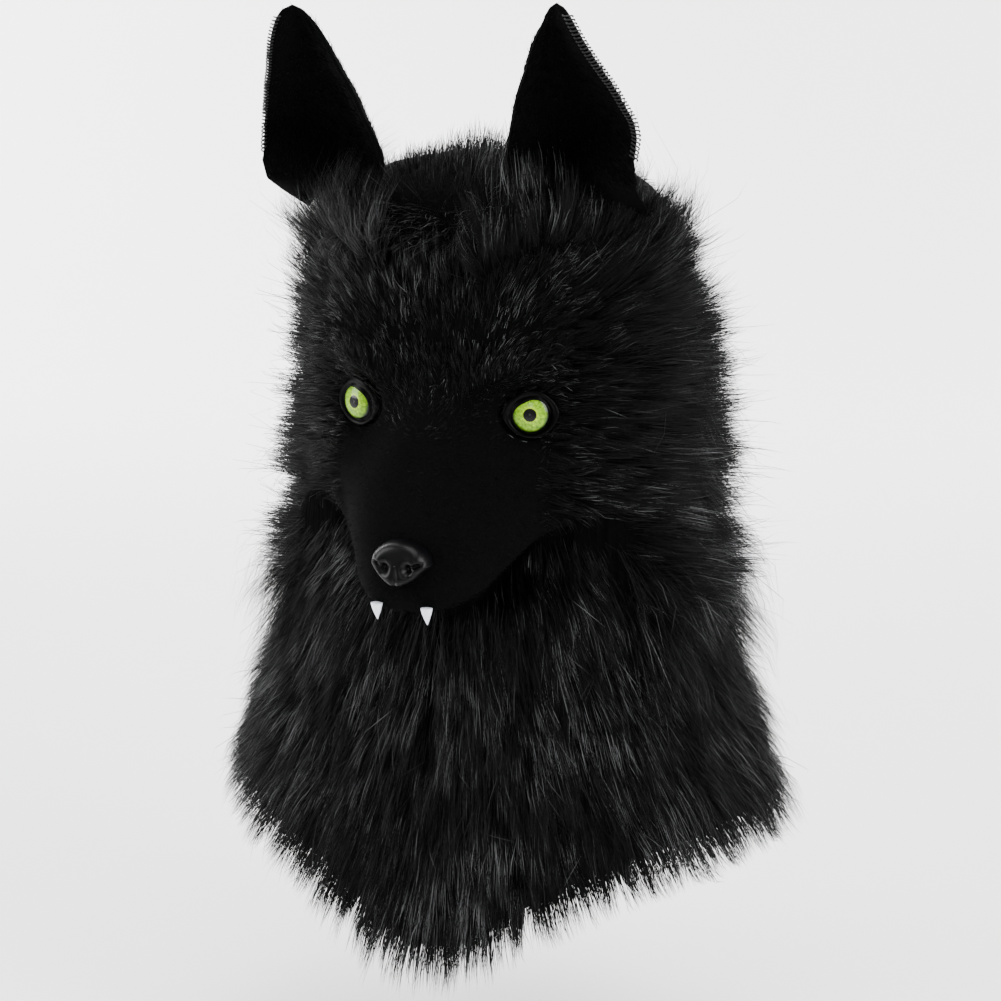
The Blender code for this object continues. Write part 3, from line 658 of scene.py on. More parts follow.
hoodWall()
mantleGrid = {"columns": 144, "rows": 41}
mantleAngles = np.linspace(-math.pi, math.pi, mantleGrid["columns"], endpoint=False)[None, :]
mantleDrops = np.linspace(mantleShape["seam"] / mantleShape["sideDrop"], 1, mantleGrid["rows"])[:, None]
clothWall("mantleBacking", mantleWall, mantleAngles + 0 * mantleDrops, mantleDrops + 0 * mantleAngles,
          mantleShape["wall"], furBacking, "mantle", "backing_cloth", "hung", ["hood"], ring=True)
print("cloth walls made")


# Fur
noseShape = {
    "halfWidth": 0.0205, "height": 0.029, "depth": 0.0115, "drop": 0.234, "taper": 0.42,
    "nostril": 0.0048, "cleft": 0.0016, "cleftWidth": 0.0014, "wing": 0.0011, "seat": 0.0005,
}


# 1 on the plush, 0 under an eye's rim or the nose
def clearOfParts(theta, drop):
    place, _, _, _ = onWall(headWall, theta, drop)
    down = headShape["wall"] - place[..., 2]
    eyeAway = np.hypot(np.abs(place[..., 0]) - eyeShape["side"], down - eyeShape["drop"])
    noseAway = np.hypot(place[..., 0] / noseShape["halfWidth"],
                        (down - noseShape["drop"]) / (0.5 * noseShape["height"]))
    inFront = np.abs(wrapAngle(theta)) < 0.35
    return (eyeAway > eyeShape["radius"] + 0.6 * eyeShape["lidWidth"]) * ~((noseAway < 0.95) & inFront)


# A repeatable random number for each pair of whole numbers
def hashed(i, j, seed):
    value = np.sin(i * 127.1 + j * 311.7 + seed * 74.7) * 43758.5453
    return value - np.floor(value)


# Roots spread evenly over a stretch of wall, thinned where density is under 1
def sprinkled(wall, angleRange, dropRange, count, density, random):
    tries = count * 8
    theta = random.uniform(*angleRange, tries)
    drop = random.uniform(*dropRange, tries)
    _, _, byAngle, byDrop = onWall(wall, theta, drop)
    weight = byAngle * byDrop * density(theta, drop)
    kept = random.random(tries) < weight / weight.max()
    return theta[kept][:count], drop[kept][:count]


# Paths along a wall: each step goes its share of the length at the strand's heading, the
# lift grows as 1 - (1 - t)^1.7, and strands lean towards the middle of their tuft
def combed(wall, theta, drop, heading, length, rise, look, random, steps=4):
    count = len(theta)
    _, _, byAngle, byDrop = onWall(wall, theta, drop)
    across, down = theta * byAngle, drop * byDrop
    size = look["tuft"]
    cellX = np.floor(across / size)
    cellZ = np.floor(down / (1.6 * size) + 0.5 * (cellX % 2))
    seed = look["seed"]
    centreX = (cellX + 0.2 + 0.6 * hashed(cellX, cellZ, seed)) * size
    centreZ = (cellZ - 0.5 * (cellX % 2) + 0.2 + 0.6 * hashed(cellX, cellZ, seed + 1)) * 1.6 * size
    pull = look["pull"] * (0.5 + 0.5 * hashed(cellX, cellZ, seed + 2))
    turnTuft = (hashed(cellX, cellZ, seed + 3) - 0.5) * 2 * look["tuftTurn"]
    liftTuft = 1 + (hashed(cellX, cellZ, seed + 4) - 0.5) * 2 * look["tuftLift"]
    longTuft = 1 + (hashed(cellX, cellZ, seed + 5) - 0.5) * look.get("tuftLong", 0.5)
    heading = heading + turnTuft + random.normal(0, look["scatter"], count)
    length = length * longTuft * random.uniform(0.7, 1.1, count)
    rise = rise * liftTuft * random.uniform(0.6, 1.15, count)
    outwards = np.where(wrapAngle(theta) < 0, -1.0, 1.0)
    stray = random.random(count) < look["strays"]
    rise = np.where(stray, rise * 1.5, rise)
    heading = np.where(stray, heading + random.normal(0, 0.35, count), heading)
    path, outs = [], []
    share = np.linspace(0, 1, steps)
    angle, fall = theta.copy(), drop.copy()
    for number, t in enumerate(share):
        lean = pull * t**1.3
        shiftX = (centreX - across) * lean / np.maximum(byAngle, 0.06)
        shiftZ = (centreZ - down) * lean / byDrop
        point, out, _, _ = onWall(wall, angle + shiftX, np.maximum(fall + shiftZ, 0.02))
        lift = np.minimum(look["root"] + rise * (1 - (1 - t) ** 1.7), look.get("ceiling", 0.08))
        path.append(point + out * lift[:, None])
        outs.append(out)
        if number == steps - 1:
            break
        now = heading * (1 - look["sag"] * t)
        stride = length / (steps - 1)
        angle = angle + outwards * stride * np.sin(now) / np.maximum(byAngle, 0.06)
        fall = fall + stride * np.cos(now) / byDrop
    # Per tuft and per strand: random tone, which the fur material also turns into painted grey highlights
    tuftToneAndGlint = hashed(cellX, cellZ, seed + 6)
    glintAndTone = np.clip(random.beta(1.2, 3.0, count) * (0.5 + tuftToneAndGlint), 0, 1)
    return np.stack(path, 1), np.stack(outs, 1), glintAndTone


# Strands of one region as one mesh
def furPiece(name, path, outs, glintAndTone, look, random, finish=longPile):
    count = len(path)
    piece = ribbons(name, path, outs, look["width"] * random.uniform(0.7, 1.2, count),
                    random.normal(0, look["roll"], count), glintAndTone, finish)
    return fitted(piece)


pileHeading = namedColumns("height upwards", (
    (-0.14, -58),
    (-0.09, -20),
    (-0.03, -5),
    (0.00, 3),
    (0.03, 10),
    (0.06, 28),
    (0.09, 50),
    (0.12, 60),
))


# The way the face's pile lies, from straight down towards away from the face: outwards level
# with the eyes, up and outwards above them, and straight up over the forehead
def headingField(theta, drop):
    height = eyeShape["drop"] - headShape["drop"] * drop
    rise = np.radians(np.interp(height, pileHeading["height"], pileHeading["upwards"]))
    middle = 1 - ease((np.abs(wrapAngle(theta)) - 0.1) / 0.75)
    rise = rise + (math.pi / 2 - rise) * middle * ease((height + 0.03) / 0.05)
    return math.pi / 2 + rise


# Packed pile from just above the cloth to part of the fur's depth, thinner at its borders,
# with tuft-sized lumps from sines of angle and drop
def bedPiece(name, node, wall, angleRange, dropRange, lift, seed, cols=40, rows=34, ring=False,
             pole=False):
    u = np.linspace(0, 1, cols, endpoint=not ring)[None, :]
    v = np.linspace(0, 1, rows)[:, None] ** (1.5 if pole else 1.0)
    theta = angleRange[0] + (angleRange[1] - angleRange[0]) * u + 0 * v
    drop = dropRange[0] + (dropRange[1] - dropRange[0]) * v + 0 * u
    points, out, _, _ = onWall(wall, theta, drop)
    edge = ease(np.minimum(v, 1 - v) / 0.08) if not pole else ease((1 - v) / 0.10)
    if not ring:
        edge = edge * ease(np.minimum(u, 1 - u) / 0.08)
    lumps = 1 + 0.12 * np.sin(23 * theta + 3 * np.sin(31 * drop + seed)) * np.sin(37 * drop + seed)
    top = 0.0012 + lift(theta, drop) * edge * lumps
    piece = closedGrid(name, points + out * top[..., None], points + out * 0.0006, furBed, ring=ring,
                       capTop=not pole)
    return fitted(piece, node)


headFur = {
    "earFoot": {"count": 3000, "length": 0.024, "rise": 0.031, "width": 0.00045, "root": 0.001,
                "tuft": 0.007, "pull": 0.5, "tuftTurn": 0.35, "tuftLift": 0.25, "scatter": 0.15,
                "strays": 0.03, "sag": 0.0, "roll": 0.35, "seed": 15},
    "crown": {"count": 10500, "length": 0.024, "rise": 0.021, "width": 0.0005, "root": 0.002, "roll": 0.4,
              "seed": 11},
    "forehead": {"count": 12000, "length": 0.019, "rise": 0.008, "width": 0.00042, "root": 0.001,
                 "tuft": 0.007, "pull": 0.55, "tuftTurn": 0.16, "tuftLift": 0.3, "scatter": 0.10,
                 "strays": 0.03, "sag": 0.0, "roll": 0.35, "seed": 21},
    "cheek": {"count": 19000, "length": 0.044, "rise": 0.035, "width": 0.00045, "root": 0.001,
              "tuft": 0.010, "pull": 0.60, "tuftTurn": 0.20, "tuftLift": 0.25, "scatter": 0.10,
              "strays": 0.03, "sag": 0.10, "roll": 0.35, "seed": 31},
    "mane": {"count": 25000, "length": 0.054, "rise": 0.034, "ceiling": 0.056, "width": 0.00052,
             "root": 0.002,
             "tuft": 0.013, "pull": 0.60, "tuftTurn": 0.14, "tuftLift": 0.25, "scatter": 0.08,
             "strays": 0.03, "sag": 0.3, "roll": 0.35, "seed": 41},
    "throat": {"count": 8000, "length": 0.036, "rise": 0.015, "width": 0.00050, "root": 0.001,
               "tuft": 0.010, "pull": 0.60, "tuftTurn": 0.14, "tuftLift": 0.25, "scatter": 0.10,
               "strays": 0.02, "sag": 0.3, "roll": 0.35, "seed": 51},
}
mantleFur = {
    "chest": {"count": 18000, "length": 0.050, "rise": 0.018, "width": 0.00050, "root": 0.001,
              "tuft": 0.010, "pull": 0.42, "tuftTurn": 0.13, "tuftLong": 0.25, "tuftLift": 0.3,
              "scatter": 0.07,
              "strays": 0.03, "sag": 0.2, "roll": 0.35, "seed": 61},
    "shoulder": {"count": 15500, "length": 0.050, "rise": 0.020, "ceiling": 0.036, "width": 0.00055,
                 "root": 0.001,
                 "tuft": 0.010, "pull": 0.42, "tuftTurn": 0.13, "tuftLong": 0.25, "tuftLift": 0.3,
                 "scatter": 0.08,
                 "strays": 0.03, "sag": 0.2, "roll": 0.35, "seed": 71},
}
degrees = math.radians(1)


# Hair over the crown, straight from its root: back and a little outwards, with the wall's
# curve taken off as the square of the way gone
def crownHair():
    look = headFur["crown"]
    random = np.random.default_rng(look["seed"])
    theta, drop = sprinkled(headWall, (-math.pi, math.pi), (0.0, 0.14), look["count"],
                            lambda a, d: 1.0 + 0 * a, random)
    root, out, _, _ = onWall(headWall, theta, drop)
    cellX, cellY = np.floor(root[:, 0] / 0.011), np.floor(root[:, 1] / 0.011)
    wild = hashed(cellX, cellY, 12)
    flatOut = np.stack([np.sin(theta), -np.cos(theta), 0 * theta], -1)
    sideways = 0.25 * np.sin(theta) + 0.5 * (hashed(cellX, cellY, 13) - 0.5)
    back = np.stack([sideways, 1 + 0 * theta, 0 * theta], -1)
    mix = ease((drop - 0.03) / 0.08)[:, None]
    way = unit(back * (1 - mix) + flatOut * mix + random.normal(0, 0.25, (len(theta), 3)))
    way = unit(way - out * np.sum(way * out, -1, keepdims=True))
    middle = np.exp(-((root[:, 0] / 0.055) ** 2))
    length = look["length"] * random.uniform(0.6, 1.15, len(theta)) * (0.9 - 0.45 * middle + 0.3 * wild)
    upright = 0.55 + 0.35 * middle + 0.9 * wild * middle
    rise = look["rise"] * random.uniform(0.5, 1.1, len(theta)) * upright
    t = np.linspace(0, 1, 4)[None, :, None]
    path = (root[:, None] + out[:, None] * look["root"] + way[:, None] * (length[:, None, None] * t)
            + out[:, None] * (rise[:, None, None] * (1 - (1 - t) ** 1.5))
            - out[:, None] * 6.0 * (length[:, None, None] * t) ** 2)
    outs = np.repeat(out[:, None], 4, 1)
    # Random tone per strand, which the fur material also turns into painted grey highlights
    glintAndTone = np.clip(random.beta(1.2, 3.2, len(theta)) * (0.5 + wild), 0, 1)
    return furPiece("crownHair", path, outs, glintAndTone, look, random)


# Hair of the head by the heading field; grow gives shares of length and rise at a root
def faceHair(name, look, angleRange, dropRange, density, grow, finish=longPile):
    random = np.random.default_rng(look["seed"])
    theta, drop = sprinkled(headWall, angleRange, dropRange, look["count"], density, random)
    share = grow(theta, drop)
    path, outs, glintAndTone = combed(headWall, theta, drop, headingField(theta, drop), look["length"] * share,
                               look["rise"] * share, look, random)
    return furPiece(name, path, outs, glintAndTone, look, random, finish)


# Hair that hangs down the wall and leans away from the front seam
def hangingHair(name, wall, look, angleRange, dropRange, density, grow, lean):
    random = np.random.default_rng(look["seed"])
    theta, drop = sprinkled(wall, angleRange, dropRange, look["count"], density, random)
    share = grow(theta, drop)
    path, outs, glintAndTone = combed(wall, theta, drop, lean(theta, drop), look["length"] * share,
                               look["rise"] * share, look, random)
    return furPiece(name, path, outs, glintAndTone, look, random)


# Tufts in front of an ear's foot that stand up and hide where it is sewn on
def earFootHair(side, word):
    look = dict(headFur["earFoot"], seed=headFur["earFoot"]["seed"] + side)
    random = np.random.default_rng(look["seed"])
    across = random.uniform(-1.15, 1.25, look["count"])
    theta = side * (47 + 25 * across) * degrees
    drop = 0.075 + 0.05 * across**2 + random.uniform(0.0, 0.085, look["count"])
    share = 1 + 0.45 * ease(across)
    heading = math.pi - 0.25 - 0.5 * across
    path, outs, glintAndTone = combed(headWall, theta, drop, heading, look["length"] + 0 * theta,
                               look["rise"] * share, look, random)
    return furPiece("earFootHair" + word, path, outs, glintAndTone, look, random)


crownHair()
earFootHair(1, "Left")
earFootHair(-1, "Right")
# Each region's angles, drops, density, shares of length, and lean are functions of angle a and drop d
faceHair("foreheadHair", headFur["forehead"], (-52 * degrees, 52 * degrees), (0.07, 0.56),
         lambda a, d: clearOfParts(a, d) * (1 - 0.9 * ease((d - 0.30) / 0.26)),
         lambda a, d: (1 - 0.80 * ease((d - 0.20) / 0.30)) * np.clip((d - 0.01) / 0.13, 0.3, 1))
for side, word in ((1, "Left"), (-1, "Right")):
    look = dict(headFur["cheek"], seed=headFur["cheek"]["seed"] + side)
    span = sorted((side * 34 * degrees, side * 94 * degrees))
    faceHair("cheekHair" + word, look, span, (0.10, 0.96),
             lambda a, d: clearOfParts(a, d) * ease((np.abs(a) - 33 * degrees) / (16 * degrees))
             * ease((lipDrop(a) - d) / 0.05 + 6 * ease((np.abs(a) - 56 * degrees) / (8 * degrees))),
             lambda a, d: (0.13 + (0.92 + 0.22 * np.exp(-(((d - 0.58) / 0.16) ** 2)))
                           * ease((np.abs(a) - 37 * degrees) / (33 * degrees)))
             * np.clip((d - 0.03) / 0.17, 0.25, 1)
             * (1 - 0.35 * ease((np.abs(a) - 78 * degrees) / (10 * degrees)) * ease((0.45 - d) / 0.2)))
hangingHair("maneHair", headWall, headFur["mane"], (60 * degrees, 300 * degrees), (0.07, 1.0),
            lambda a, d: np.maximum(ease((np.abs(wrapAngle(a)) - 76 * degrees) / (8 * degrees)),
                                    ease((d - 0.74) / 0.08)),
            lambda a, d: (0.58 + 0.52 * ease((d - 0.10) / 0.40)) * (0.9 + 0.25 * d),
            lambda a, d: 0.15 + 0 * a)
hangingHair("throatHair", headWall, headFur["throat"], (-74 * degrees, 74 * degrees), (0.74, 1.0),
            lambda a, d: ease((d - lipDrop(a) - 0.015) / 0.04),
            lambda a, d: 0.45 + 0.55 * ease((d - lipDrop(a)) / 0.12) + 0.4 * ease((d - 0.85) / 0.15),
            lambda a, d: 0.1 + 0.3 * np.abs(np.sin(a)))
for side, word in ((1, "Left"), (-1, "Right")):
    look = dict(mantleFur["chest"], seed=mantleFur["chest"]["seed"] + side)
    span = sorted((side * 0.5 * degrees, side * 92 * degrees))
    hangingHair("chestHair" + word, mantleWall, look, span, (0.0, 0.97), lambda a, d: 1 + 0 * a,
                lambda a, d: 0.85 + 0.25 * d - 0.25 * ease((d - 0.6) / 0.4),
                lambda a, d: 0.05 + 0.22 * np.abs(np.sin(a)))
hangingHair("shoulderHair", mantleWall, mantleFur["shoulder"], (88 * degrees, 272 * degrees), (0.0, 0.97),
            lambda a, d: 1 + 0 * a, lambda a, d: 0.85 + 0.2 * d, lambda a, d: 0.1 + 0 * a)
print("long fur combed")

bedPiece("crownBed", "crown_fur", headWall, (-math.pi, math.pi), (0.0, 0.13),
         lambda a, d: 0.012 - 0.03 * d, 1, cols=96, rows=24, ring=True, pole=True)
bedPiece("foreheadBed", "forehead_fur", headWall, (-49 * degrees, 49 * degrees), (0.075, 0.36),
         lambda a, d: 0.0035 + 0 * a, 2)
for side, word in ((1, "Left"), (-1, "Right")):
    span = sorted((side * 47 * degrees, side * 84 * degrees))
    bedPiece("cheekBed" + word, "cheek_fur_" + word.lower(), headWall, span, (0.075, 0.995),
             lambda a, d: 0.004 + 0.012 * ease((np.abs(a) - 50 * degrees) / (22 * degrees)), 3)
bedPiece("maneBed", "mane_fur", headWall, (72 * degrees, 288 * degrees), (0.075, 0.995),
         lambda a, d: 0.006 + 0.010 * ease((d - 0.12) / 0.40), 5, cols=84, rows=40)
for side, word in ((1, "Left"), (-1, "Right")):
    span = sorted((side * 0.3 * degrees, side * 79.7 * degrees))
    bedPiece("chestBed" + word, "chest_fur_" + word.lower(), mantleWall, span, (0.012, 1.0),
             lambda a, d: 0.009 + 0 * a, 6)
bedPiece("shoulderBed", "shoulder_fur", mantleWall, (80.3 * degrees, 279.7 * degrees), (0.012, 1.0),
         lambda a, d: 0.010 + 0 * a, 8, cols=84, rows=34)
print("fur beds made")


# Eyes

# Height of the resin dome at a share of its radius
def domeHeight(share):
    return eyeShape["edge"] + eyeShape["bulge"] * np.sqrt(np.maximum(1 - share**2, 0))


# Loops of a disc swept round: radius and height by row; UVs are its own plane
def discPiece(name, seat, radius, out, finish):
    centre, across, up, ahead = seat
    around = np.linspace(0, 2 * math.pi, 72, endpoint=False)[:, None]
    x, y = radius * np.cos(around), radius * np.sin(around)
    points = centre + x[..., None] * across + y[..., None] * up + (out + 0 * around)[..., None] * ahead
    spread = np.stack([0.5 + x / (2 * eyeShape["radius"]), 0.5 + y / (2 * eyeShape["radius"])], -1)
    return spunSection(name, points, finish, spread)


# Resin body: a flat back, a short edge and a dome, as radius and height by row
def eyePiece(side, word):
    share = np.sin(np.linspace(math.pi / 2, 0, 18))
    radius = np.concatenate([[0.0001], share * eyeShape["radius"]])
    radius[-1] = 0.00002
    out = np.concatenate([[0.0], domeHeight(share)])
    radius = np.insert(radius, 1, eyeShape["radius"])
    out = np.insert(out, 1, 0.0)
    piece = discPiece("eyeResin" + word, eyeFrame(side), radius, out, resinEye)
    return fitted(piece, "eye_" + word.lower())


# Rim round the eye: it climbs from the plush, rolls over, and comes down on the dome; it
# covers more of the dome above and towards the nose
def lidPiece(side, word):
    centre, across, up, ahead = eyeFrame(side)
    around = np.linspace(0, 2 * math.pi, 96, endpoint=False)[:, None]
    toNose = math.pi / 2 + side * math.radians(28)
    above = np.exp(-((wrapAngle(around - toNose) / math.radians(62)) ** 2))
    r = eyeShape["radius"]
    rOut = lidInside(around) + eyeShape["lidWidth"]
    rIn = r * (1.0 - 0.03 - 0.30 * above)
    s = np.linspace(0, 1, 15)[None, :]
    radius = rOut + (rIn - rOut) * s
    share = np.clip(radius / r, 0, 1)
    cover = np.where(radius < r, domeHeight(share), 0.0)
    roll = eyeShape["lidHeight"] * (0.75 + 0.45 * above) * np.sin(np.pi * np.clip(s, 0, 1) ** 0.75) ** 0.7
    top = np.maximum(roll, cover + 0.0009 * ease((1 - s) / 0.15 + 0.15))
    low = np.where(radius < r * 1.001, cover + 0.0001, 0.0)
    radius = np.concatenate([radius, radius[:, ::-1][:, 1:-1]], 1)
    out = np.concatenate([top, low[:, ::-1][:, 1:-1]], 1)
    points = (centre + (radius * np.cos(around))[..., None] * across
              + (radius * np.sin(around))[..., None] * up + out[..., None] * ahead)
    piece = spunSection("eyeRim" + word, points, rimGloss)
    return fitted(piece, "eyelid_" + word.lower())


for side, word in ((1, "Left"), (-1, "Right")):
    eyePiece(side, word)
    lidPiece(side, word)
print("eyes made")

# Each spot: place as a share of the half width, spread across, level, spread up and slope
noseSpots = {
    "hole": (0.40, 0.0030, -0.0022, 0.0034, 0.0),
    "tail": (0.66, 0.0034, -0.0008, 0.0016, 0.35),
    "wing": (0.62, 0.0050, 0.0030, 0.0045, 0.0),
}


forwards = np.array([0.0, -1.0, 0.0])


# A rounded wedge: height over the face (1 - s^7)^(1/2.2) of its depth, dented at the nostrils
# by two Gaussians a side that make a comma, and along the cleft
def nosePiece():
    around = np.linspace(0, 2 * math.pi, 128, endpoint=False)[:, None]
    front = np.sin(np.linspace(math.pi / 2, 0, 34))
    share = np.concatenate([[0.0005, 0.5, 0.9], front])
    share[-1] = 0.0005
    rise = np.concatenate([[0.0, 0.0, 0.0], (1 - front**7) ** (1 / 2.2)])
    w, h = noseShape["halfWidth"], 0.5 * noseShape["height"]
    lower = np.clip(-np.sin(around), 0, 1)
    side = w * share * np.cos(around) * (1 - noseShape["taper"] * lower)
    height = h * share * np.sin(around)
    away = np.abs(side)
    soft = {name: np.exp(-(((away - place * w) / wide) ** 2)
                         - ((height - level - slope * (away - 0.5 * w)) / tall) ** 2)
            for name, (place, wide, level, tall, slope) in noseSpots.items()}
    cleft = np.exp(-((side / noseShape["cleftWidth"]) ** 2)) * ease(-height / h * 1.2 + 0.1)
    dent = (noseShape["nostril"] * np.maximum(soft["hole"], 0.8 * soft["tail"])
            + noseShape["cleft"] * cleft - noseShape["wing"] * soft["wing"])
    out = noseShape["depth"] * rise - dent * (rise > 0.3) * ease((rise - 0.3) / 0.4)
    points = facePoint(side, noseShape["drop"] - height)
    points = points + forwards * (out + noseShape["seat"])[..., None]
    return fitted(spunSection("noseVinyl", points, noseVinyl), "nose")


nosePiece()
fangShape = {
    "side": 0.0175, "radius": 0.0042, "slim": 0.90, "length": 0.0145, "rise": 0.006, "rows": 11,
    "hidden": 0.0025, "seat": 0.0005, "curve": 6.0,
}


# A cone with a rounded tip that curves back: radius by (1 - t^1.6)
def fangPiece(side, word):
    lipHere = lipDrop(math.asin(side * fangShape["side"] / muzzleShape["reach"]))
    rows = fangShape["rows"]
    above = headShape["hairline"] + (lipHere - headShape["hairline"]) * (rows - 1) / rows
    upper = facePoint(side * fangShape["side"], headShape["drop"] * above)
    lower = facePoint(side * fangShape["side"], headShape["drop"] * lipHere)
    seat = upper + (lower - upper) * (1 - fangShape["rise"] / (headShape["drop"] * (lipHere - above)))
    seat = seat + forwards * (fangShape["radius"] + fangShape["seat"])
    around = np.linspace(0, 2 * math.pi, 32, endpoint=False)[:, None]
    t = np.linspace(0, 1, 16)
    radius = fangShape["radius"] * fangShape["slim"] * np.concatenate([[0.01], 1 - 0.96 * t**1.35])
    seen = fangShape["length"] - 1.4 * fangShape["hidden"]
    down = fangShape["hidden"] + np.concatenate([[0.0], t]) * seen
    points = np.stack([seat[0] + radius * np.cos(around),
                       seat[1] + radius * np.sin(around) + fangShape["curve"] * down**2,
                       seat[2] - down + 0 * around], -1)
    return fitted(spunSection("fang" + word, points, fangResin), "fang_" + word.lower())


for side, word in ((1, "Left"), (-1, "Right")):
    fangPiece(side, word)
print("nose and fangs made")


# Ears
earShape = {
    "tip": (0.089, -0.117, 0.109), "halfWidth": 0.045, "cup": 0.024, "wall": 0.006,
    "angle": math.radians(47), "span": math.radians(25), "sink": 0.05, "turn": math.radians(4),
    "crownDepth": 0.015, "sideSwell": 0.5, "gap": 0.0008,
}
earLevels = namedColumns("height inner outer innerTurn outerTurn", (
    (0.00, 0.90, 1.04, 6, -9),
    (0.12, 0.91, 1.04, 6, -9),
    (0.21, 0.88, 1.00, 4, -4),
    (0.30, 0.83, 1.00, 4, 3),
    (0.39, 0.76, 0.95, 5, 6),
    (0.48, 0.70, 0.84, 4, 4),
    (0.57, 0.62, 0.73, 3, 1),
    (0.65, 0.53, 0.61, 2, -4),
    (0.74, 0.45, 0.50, 1, -14),
    (0.83, 0.35, 0.40, -4, -24),
    (0.92, 0.22, 0.28, -14, -30),
    (0.98, 0.11, 0.14, -14, -30),
    (1.00, 0.02, 0.02, -14, -30),
))


# Mid-surface of an ear: a spine from the crown to the tip, a width either side of it, a cup
# bent back in the middle, and a foot that follows the crown
def earMiddle(side, across, height):
    baseAngle = earShape["angle"] + earShape["span"] * across
    sideways = (np.abs(baseAngle) - earShape["angle"]) / (2 * earShape["span"])
    swell = 1 + earShape["sideSwell"] * ease(sideways)
    lift = earShape["crownDepth"] * 1.3 * swell + earShape["wall"] / 2 + earShape["gap"]
    foot = placedOn(headLine, baseAngle, 0.075 + earShape["sink"] * across**2, lift)
    centreLift = earShape["crownDepth"] * 1.3 + earShape["wall"] / 2 + earShape["gap"]
    middle = placedOn(headLine, earShape["angle"], 0.075, centreLift)
    spine = middle + (np.array(earShape["tip"]) - middle) * height[..., None]
    wide = np.where(across < 0, readColumn(earLevels, "height", "inner", height),
                    readColumn(earLevels, "height", "outer", height))
    turn = np.radians(np.where(across < 0, readColumn(earLevels, "height", "innerTurn", height),
                               readColumn(earLevels, "height", "outerTurn", height)))
    outwards = np.stack([np.cos(turn), np.sin(turn), 0 * turn], -1)
    backwards = np.array([-math.sin(earShape["turn"]), math.cos(earShape["turn"]), 0.0])
    cup = earShape["cup"] * np.sin(math.pi * np.clip(height, 0, 1) ** 0.7) * (1 - across**2)
    reach = (earShape["halfWidth"] * wide * across)[..., None]
    free = spine + reach * outwards + cup[..., None] * backwards
    hold = ease(height / (0.13 - 0.09 * ease((across - 0.3) / 0.5)))[..., None]
    return ((1 - hold) * foot + hold * free) * np.array([side, 1, 1])


# Mid-surface, its way to the front, and half its thickness there
def earSkin(side, across, height):
    step = 0.004
    middle = earMiddle(side, across, height)
    byAcross = (earMiddle(side, np.clip(across + step, -1, 1), height)
                - earMiddle(side, np.clip(across - step, -1, 1), height))
    byHeight = (earMiddle(side, across, np.clip(height + step, 0, 1))
                - earMiddle(side, across, np.clip(height - step, 0, 1)))
    ahead = unit(np.cross(byAcross, byHeight)) * side
    thinning = (0.12 + 0.88 * np.sqrt(1 - np.abs(across) ** 6)) * np.sqrt(1 - 0.9 * height**12)
    half = 0.5 * earShape["wall"] * thinning
    fold = ease((-across - 0.66) / 0.08) * ease((0.97 - height) / 0.1)
    return middle, ahead, half, fold


stitch = {"pitch": 0.0024, "thread": 0.00050, "from": 0.20, "to": 0.95, "slant": 0.0009, "steps": 9,
          "sides": 6}


# Overcast stitches round an ear's outer edge: each is a thread bent round the edge by the
# cosine and sine of its way round, in the plane of the edge's outward way and the ear's front
def earStitches(side, word):
    heights = np.linspace(0.0, 1.0, 400)
    edge = earMiddle(side, np.ones_like(heights), heights)
    gone = np.concatenate([[0], np.cumsum(np.linalg.norm(np.diff(edge, axis=0), axis=1))])
    low, high = np.interp([stitch["from"], stitch["to"]], heights, gone)
    height = np.interp(np.arange(low, high, stitch["pitch"]), gone, heights)
    count = len(height)
    centre, ahead, half, _ = earSkin(side, np.ones(count), height)
    inner = earMiddle(side, np.full(count, 0.93), height)
    along = unit(earMiddle(side, np.ones(count), height + 0.004) - centre)
    outwards = unit(centre - inner)
    steps, sides = stitch["steps"], stitch["sides"]
    turn = np.linspace(-0.62 * math.pi, 0.62 * math.pi, steps)[None, :, None]
    reach = (np.maximum(half, 0.0012) + 0.0006)[:, None, None]
    line = (centre[:, None] + outwards[:, None] * (reach * np.cos(turn) - 0.0002)
            + ahead[:, None] * 1.5 * reach * np.sin(turn) + along[:, None] * stitch["slant"] * turn)
    way = unit(np.gradient(line, axis=1))
    first = unit(np.cross(way, along[:, None] + 0 * way))
    second = np.cross(way, first)
    ring = np.linspace(0, 2 * math.pi, sides, endpoint=False)[None, None, :, None]
    circle = first[:, :, None] * np.cos(ring) + second[:, :, None] * np.sin(ring)
    points = line[:, :, None] + stitch["thread"] * circle
    base = (np.arange(count) * steps * sides)[:, None, None]
    row, col = np.arange(steps - 1)[None, :, None] * sides, np.arange(sides)[None, None, :]
    after = (col + 1) % sides
    quads = np.stack([base + row + col, base + row + after, base + row + sides + after,
                      base + row + sides + col], -1)
    piece = meshPiece("earStitches" + word, points, [quads.reshape(-1, 4)], seamThread)
    return fitted(piece)


# A padded, folded triangle of plush: front and back grids, with a raised rim in front
def earPiece(side, word):
    across = np.linspace(-1, 1, 41)[None, :] * side
    height = np.concatenate([np.linspace(1, 0.16, 38), np.linspace(0.16, 0, 14)[1:]])[:, None]
    a, h = (across + 0 * height) * side, height + 0 * across
    middle, ahead, half, fold = earSkin(side, a, h)
    front = middle + ahead * (half + 0.0014 * fold)[..., None]
    back = middle - ahead * half[..., None]
    piece = fitted(closedGrid("ear" + word, front, back, plushSkin), "ear_" + word.lower())
    return piece


for side, word in ((1, "Left"), (-1, "Right")):
    earPiece(side, word)
    earStitches(side, word)
print("ears made")

# Short pile
pileLook = {
    "face": {"count": 16000, "length": 0.0045, "rise": 0.0016, "width": 0.00050, "root": 0.0, "tuft": 0.004,
             "pull": 0.3, "tuftTurn": 0.25, "tuftLift": 0.3, "scatter": 0.25, "strays": 0.0, "sag": 0.0,
             "roll": 0.5, "seed": 81},
    "ear": {"count": 6500, "length": 0.0045, "rise": 0.0018, "width": 0.00050, "roll": 0.5, "seed": 91},
}


